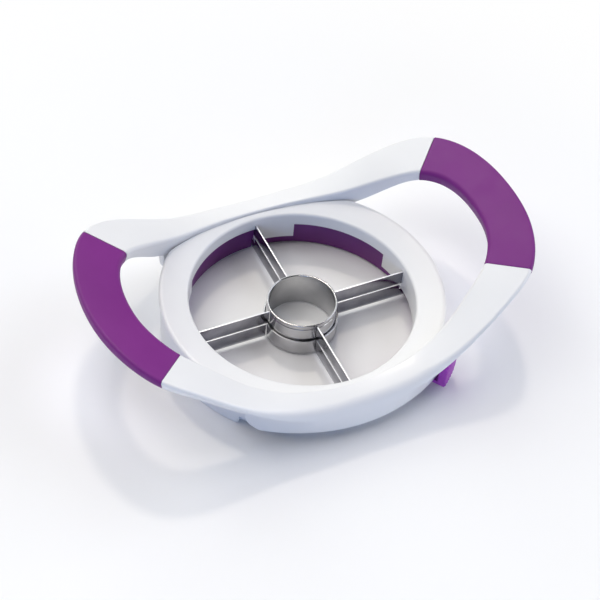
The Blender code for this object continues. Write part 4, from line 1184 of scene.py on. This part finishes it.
# %% [markdown]
# ## The retaining ring
# A flat white ring closes the space under the deck. Round seats let the screw heads sink into it.
# %% The retaining ring
RETAINER_FOOT = 0.4 * MM
RETAINER_TOP = 2.2 * MM
HEAD_RADIUS = 1.9 * MM
HEAD_HEIGHT = 0.85 * MM
retainer = spun("white_retainer", rounded((
    (TURN_OUTER + FIT, RETAINER_TOP, 0.25 * MM), (RING_INSIDE - FIT, RETAINER_TOP, 0.25 * MM),
    (RING_INSIDE - FIT, RETAINER_FOOT, 0.4 * MM), (TURN_OUTER + FIT, RETAINER_FOOT, 0.4 * MM)),
    steps=3))
for angle in RING_SCREW_DEG:
    place = polar(SCREW_CIRCLE, angle)
    cut_out(retainer, rod(
        "head_seat", HEAD_RADIUS + FIT, RETAINER_FOOT - OVERRUN, RETAINER_FOOT + HEAD_HEIGHT + FIT,
        place))
    cut_out(retainer, rod("head_bore", BORE_RADIUS, RETAINER_FOOT, RETAINER_TOP + OVERRUN, place))
hand_over(retainer, white_plastic, "slicer", "retaining_ring")

# %% [markdown]
# ## Screws
# The screws differ only in length. Each has a low round head with a crossed recess and a pointed
# shank. One of each length is turned at the origin, head down, and copied to each place.
# %% Screws
SHANK_RADIUS = 1.0 * MM
THREAD_PITCH = 0.7 * MM
THREAD_DEPTH = 0.22 * MM
RECESS_SIZE = (2.0 * MM, 0.45 * MM, 0.9 * MM)
RING_SCREW_LENGTH = 6.0 * MM


def model_screw(name, length):
    tip = HEAD_HEIGHT + length
    threads = int((length - 1.6 * SHANK_RADIUS) / THREAD_PITCH)
    outline = [(0.0, 0.0), (HEAD_RADIUS - 0.5 * MM, 0.0), (HEAD_RADIUS - 0.15 * MM, 0.12 * MM),
               (HEAD_RADIUS, 0.4 * MM), (HEAD_RADIUS, HEAD_HEIGHT), (SHANK_RADIUS, HEAD_HEIGHT)]
    for k in range(threads):
        foot = HEAD_HEIGHT + (k + 0.5) * THREAD_PITCH
        outline += [(SHANK_RADIUS - THREAD_DEPTH, foot), (SHANK_RADIUS, foot + 0.5 * THREAD_PITCH)]
    outline += [(0.55 * SHANK_RADIUS, tip - 0.6 * SHANK_RADIUS), (0.0, tip)]
    made = spun(name, outline, steps=32)
    for turn_deg in (45.0, 135.0):
        cut_out(made, cube("recess", RECESS_SIZE, turn_deg=turn_deg))
    return made


def screw_set(name, model, nodes):
    for k, made in four_of(model, name):
        low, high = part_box(nodes % (k + 1))
        made.location = (0.5 * (low.x + high.x), 0.5 * (low.y + high.y), low.z)
        hand_over(made, screw_steel, "slicer", nodes % (k + 1))


screw_set("ring_fixing", model_screw("ring_screw_model", RING_SCREW_LENGTH), "ring_screw_%d")
screw_set("frame_fixing", model_screw("frame_screw_model", FRAME_SCREW_LENGTH), "frame_screw_%d")

# %% [markdown]
# ## The detent spring
# A thin leaf hugs the outer wall and bows inwards to the turning ring's notch: a narrow rectangle
# swept along that line.
# %% The detent spring
spring_low, spring_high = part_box("detent_spring")
SPRING_LEAF = 0.3 * MM
SPRING_HALF_DEG = 9.0
SPRING_BUMP_HALF_DEG = 5.0
SPRING_STEPS = 60
SPRING_DEG = 180.0
spring_rest = RING_INSIDE - FIT - SPRING_LEAF
spring_tip = FLANGE_OUTER + FIT
spring_rings = []
for k in range(SPRING_STEPS + 1):
    off = SPRING_HALF_DEG * (2.0 * k / SPRING_STEPS - 1.0)
    inward = max(0.0, 1.0 - (off / SPRING_BUMP_HALF_DEG) ** 2)
    near = spring_rest - (spring_rest - spring_tip) * inward ** 2
    corners = ((near, spring_low.z), (near + SPRING_LEAF, spring_low.z),
               (near + SPRING_LEAF, spring_high.z), (near, spring_high.z))
    spring_rings.append([polar(radius, SPRING_DEG + off, height) for radius, height in corners])
leaf = swept("spring_leaf", spring_rings, closed=False)
bevelled(leaf, 0.06 * MM, 2, 60)
hand_over(leaf, spring_steel, "slicer", "detent_spring")
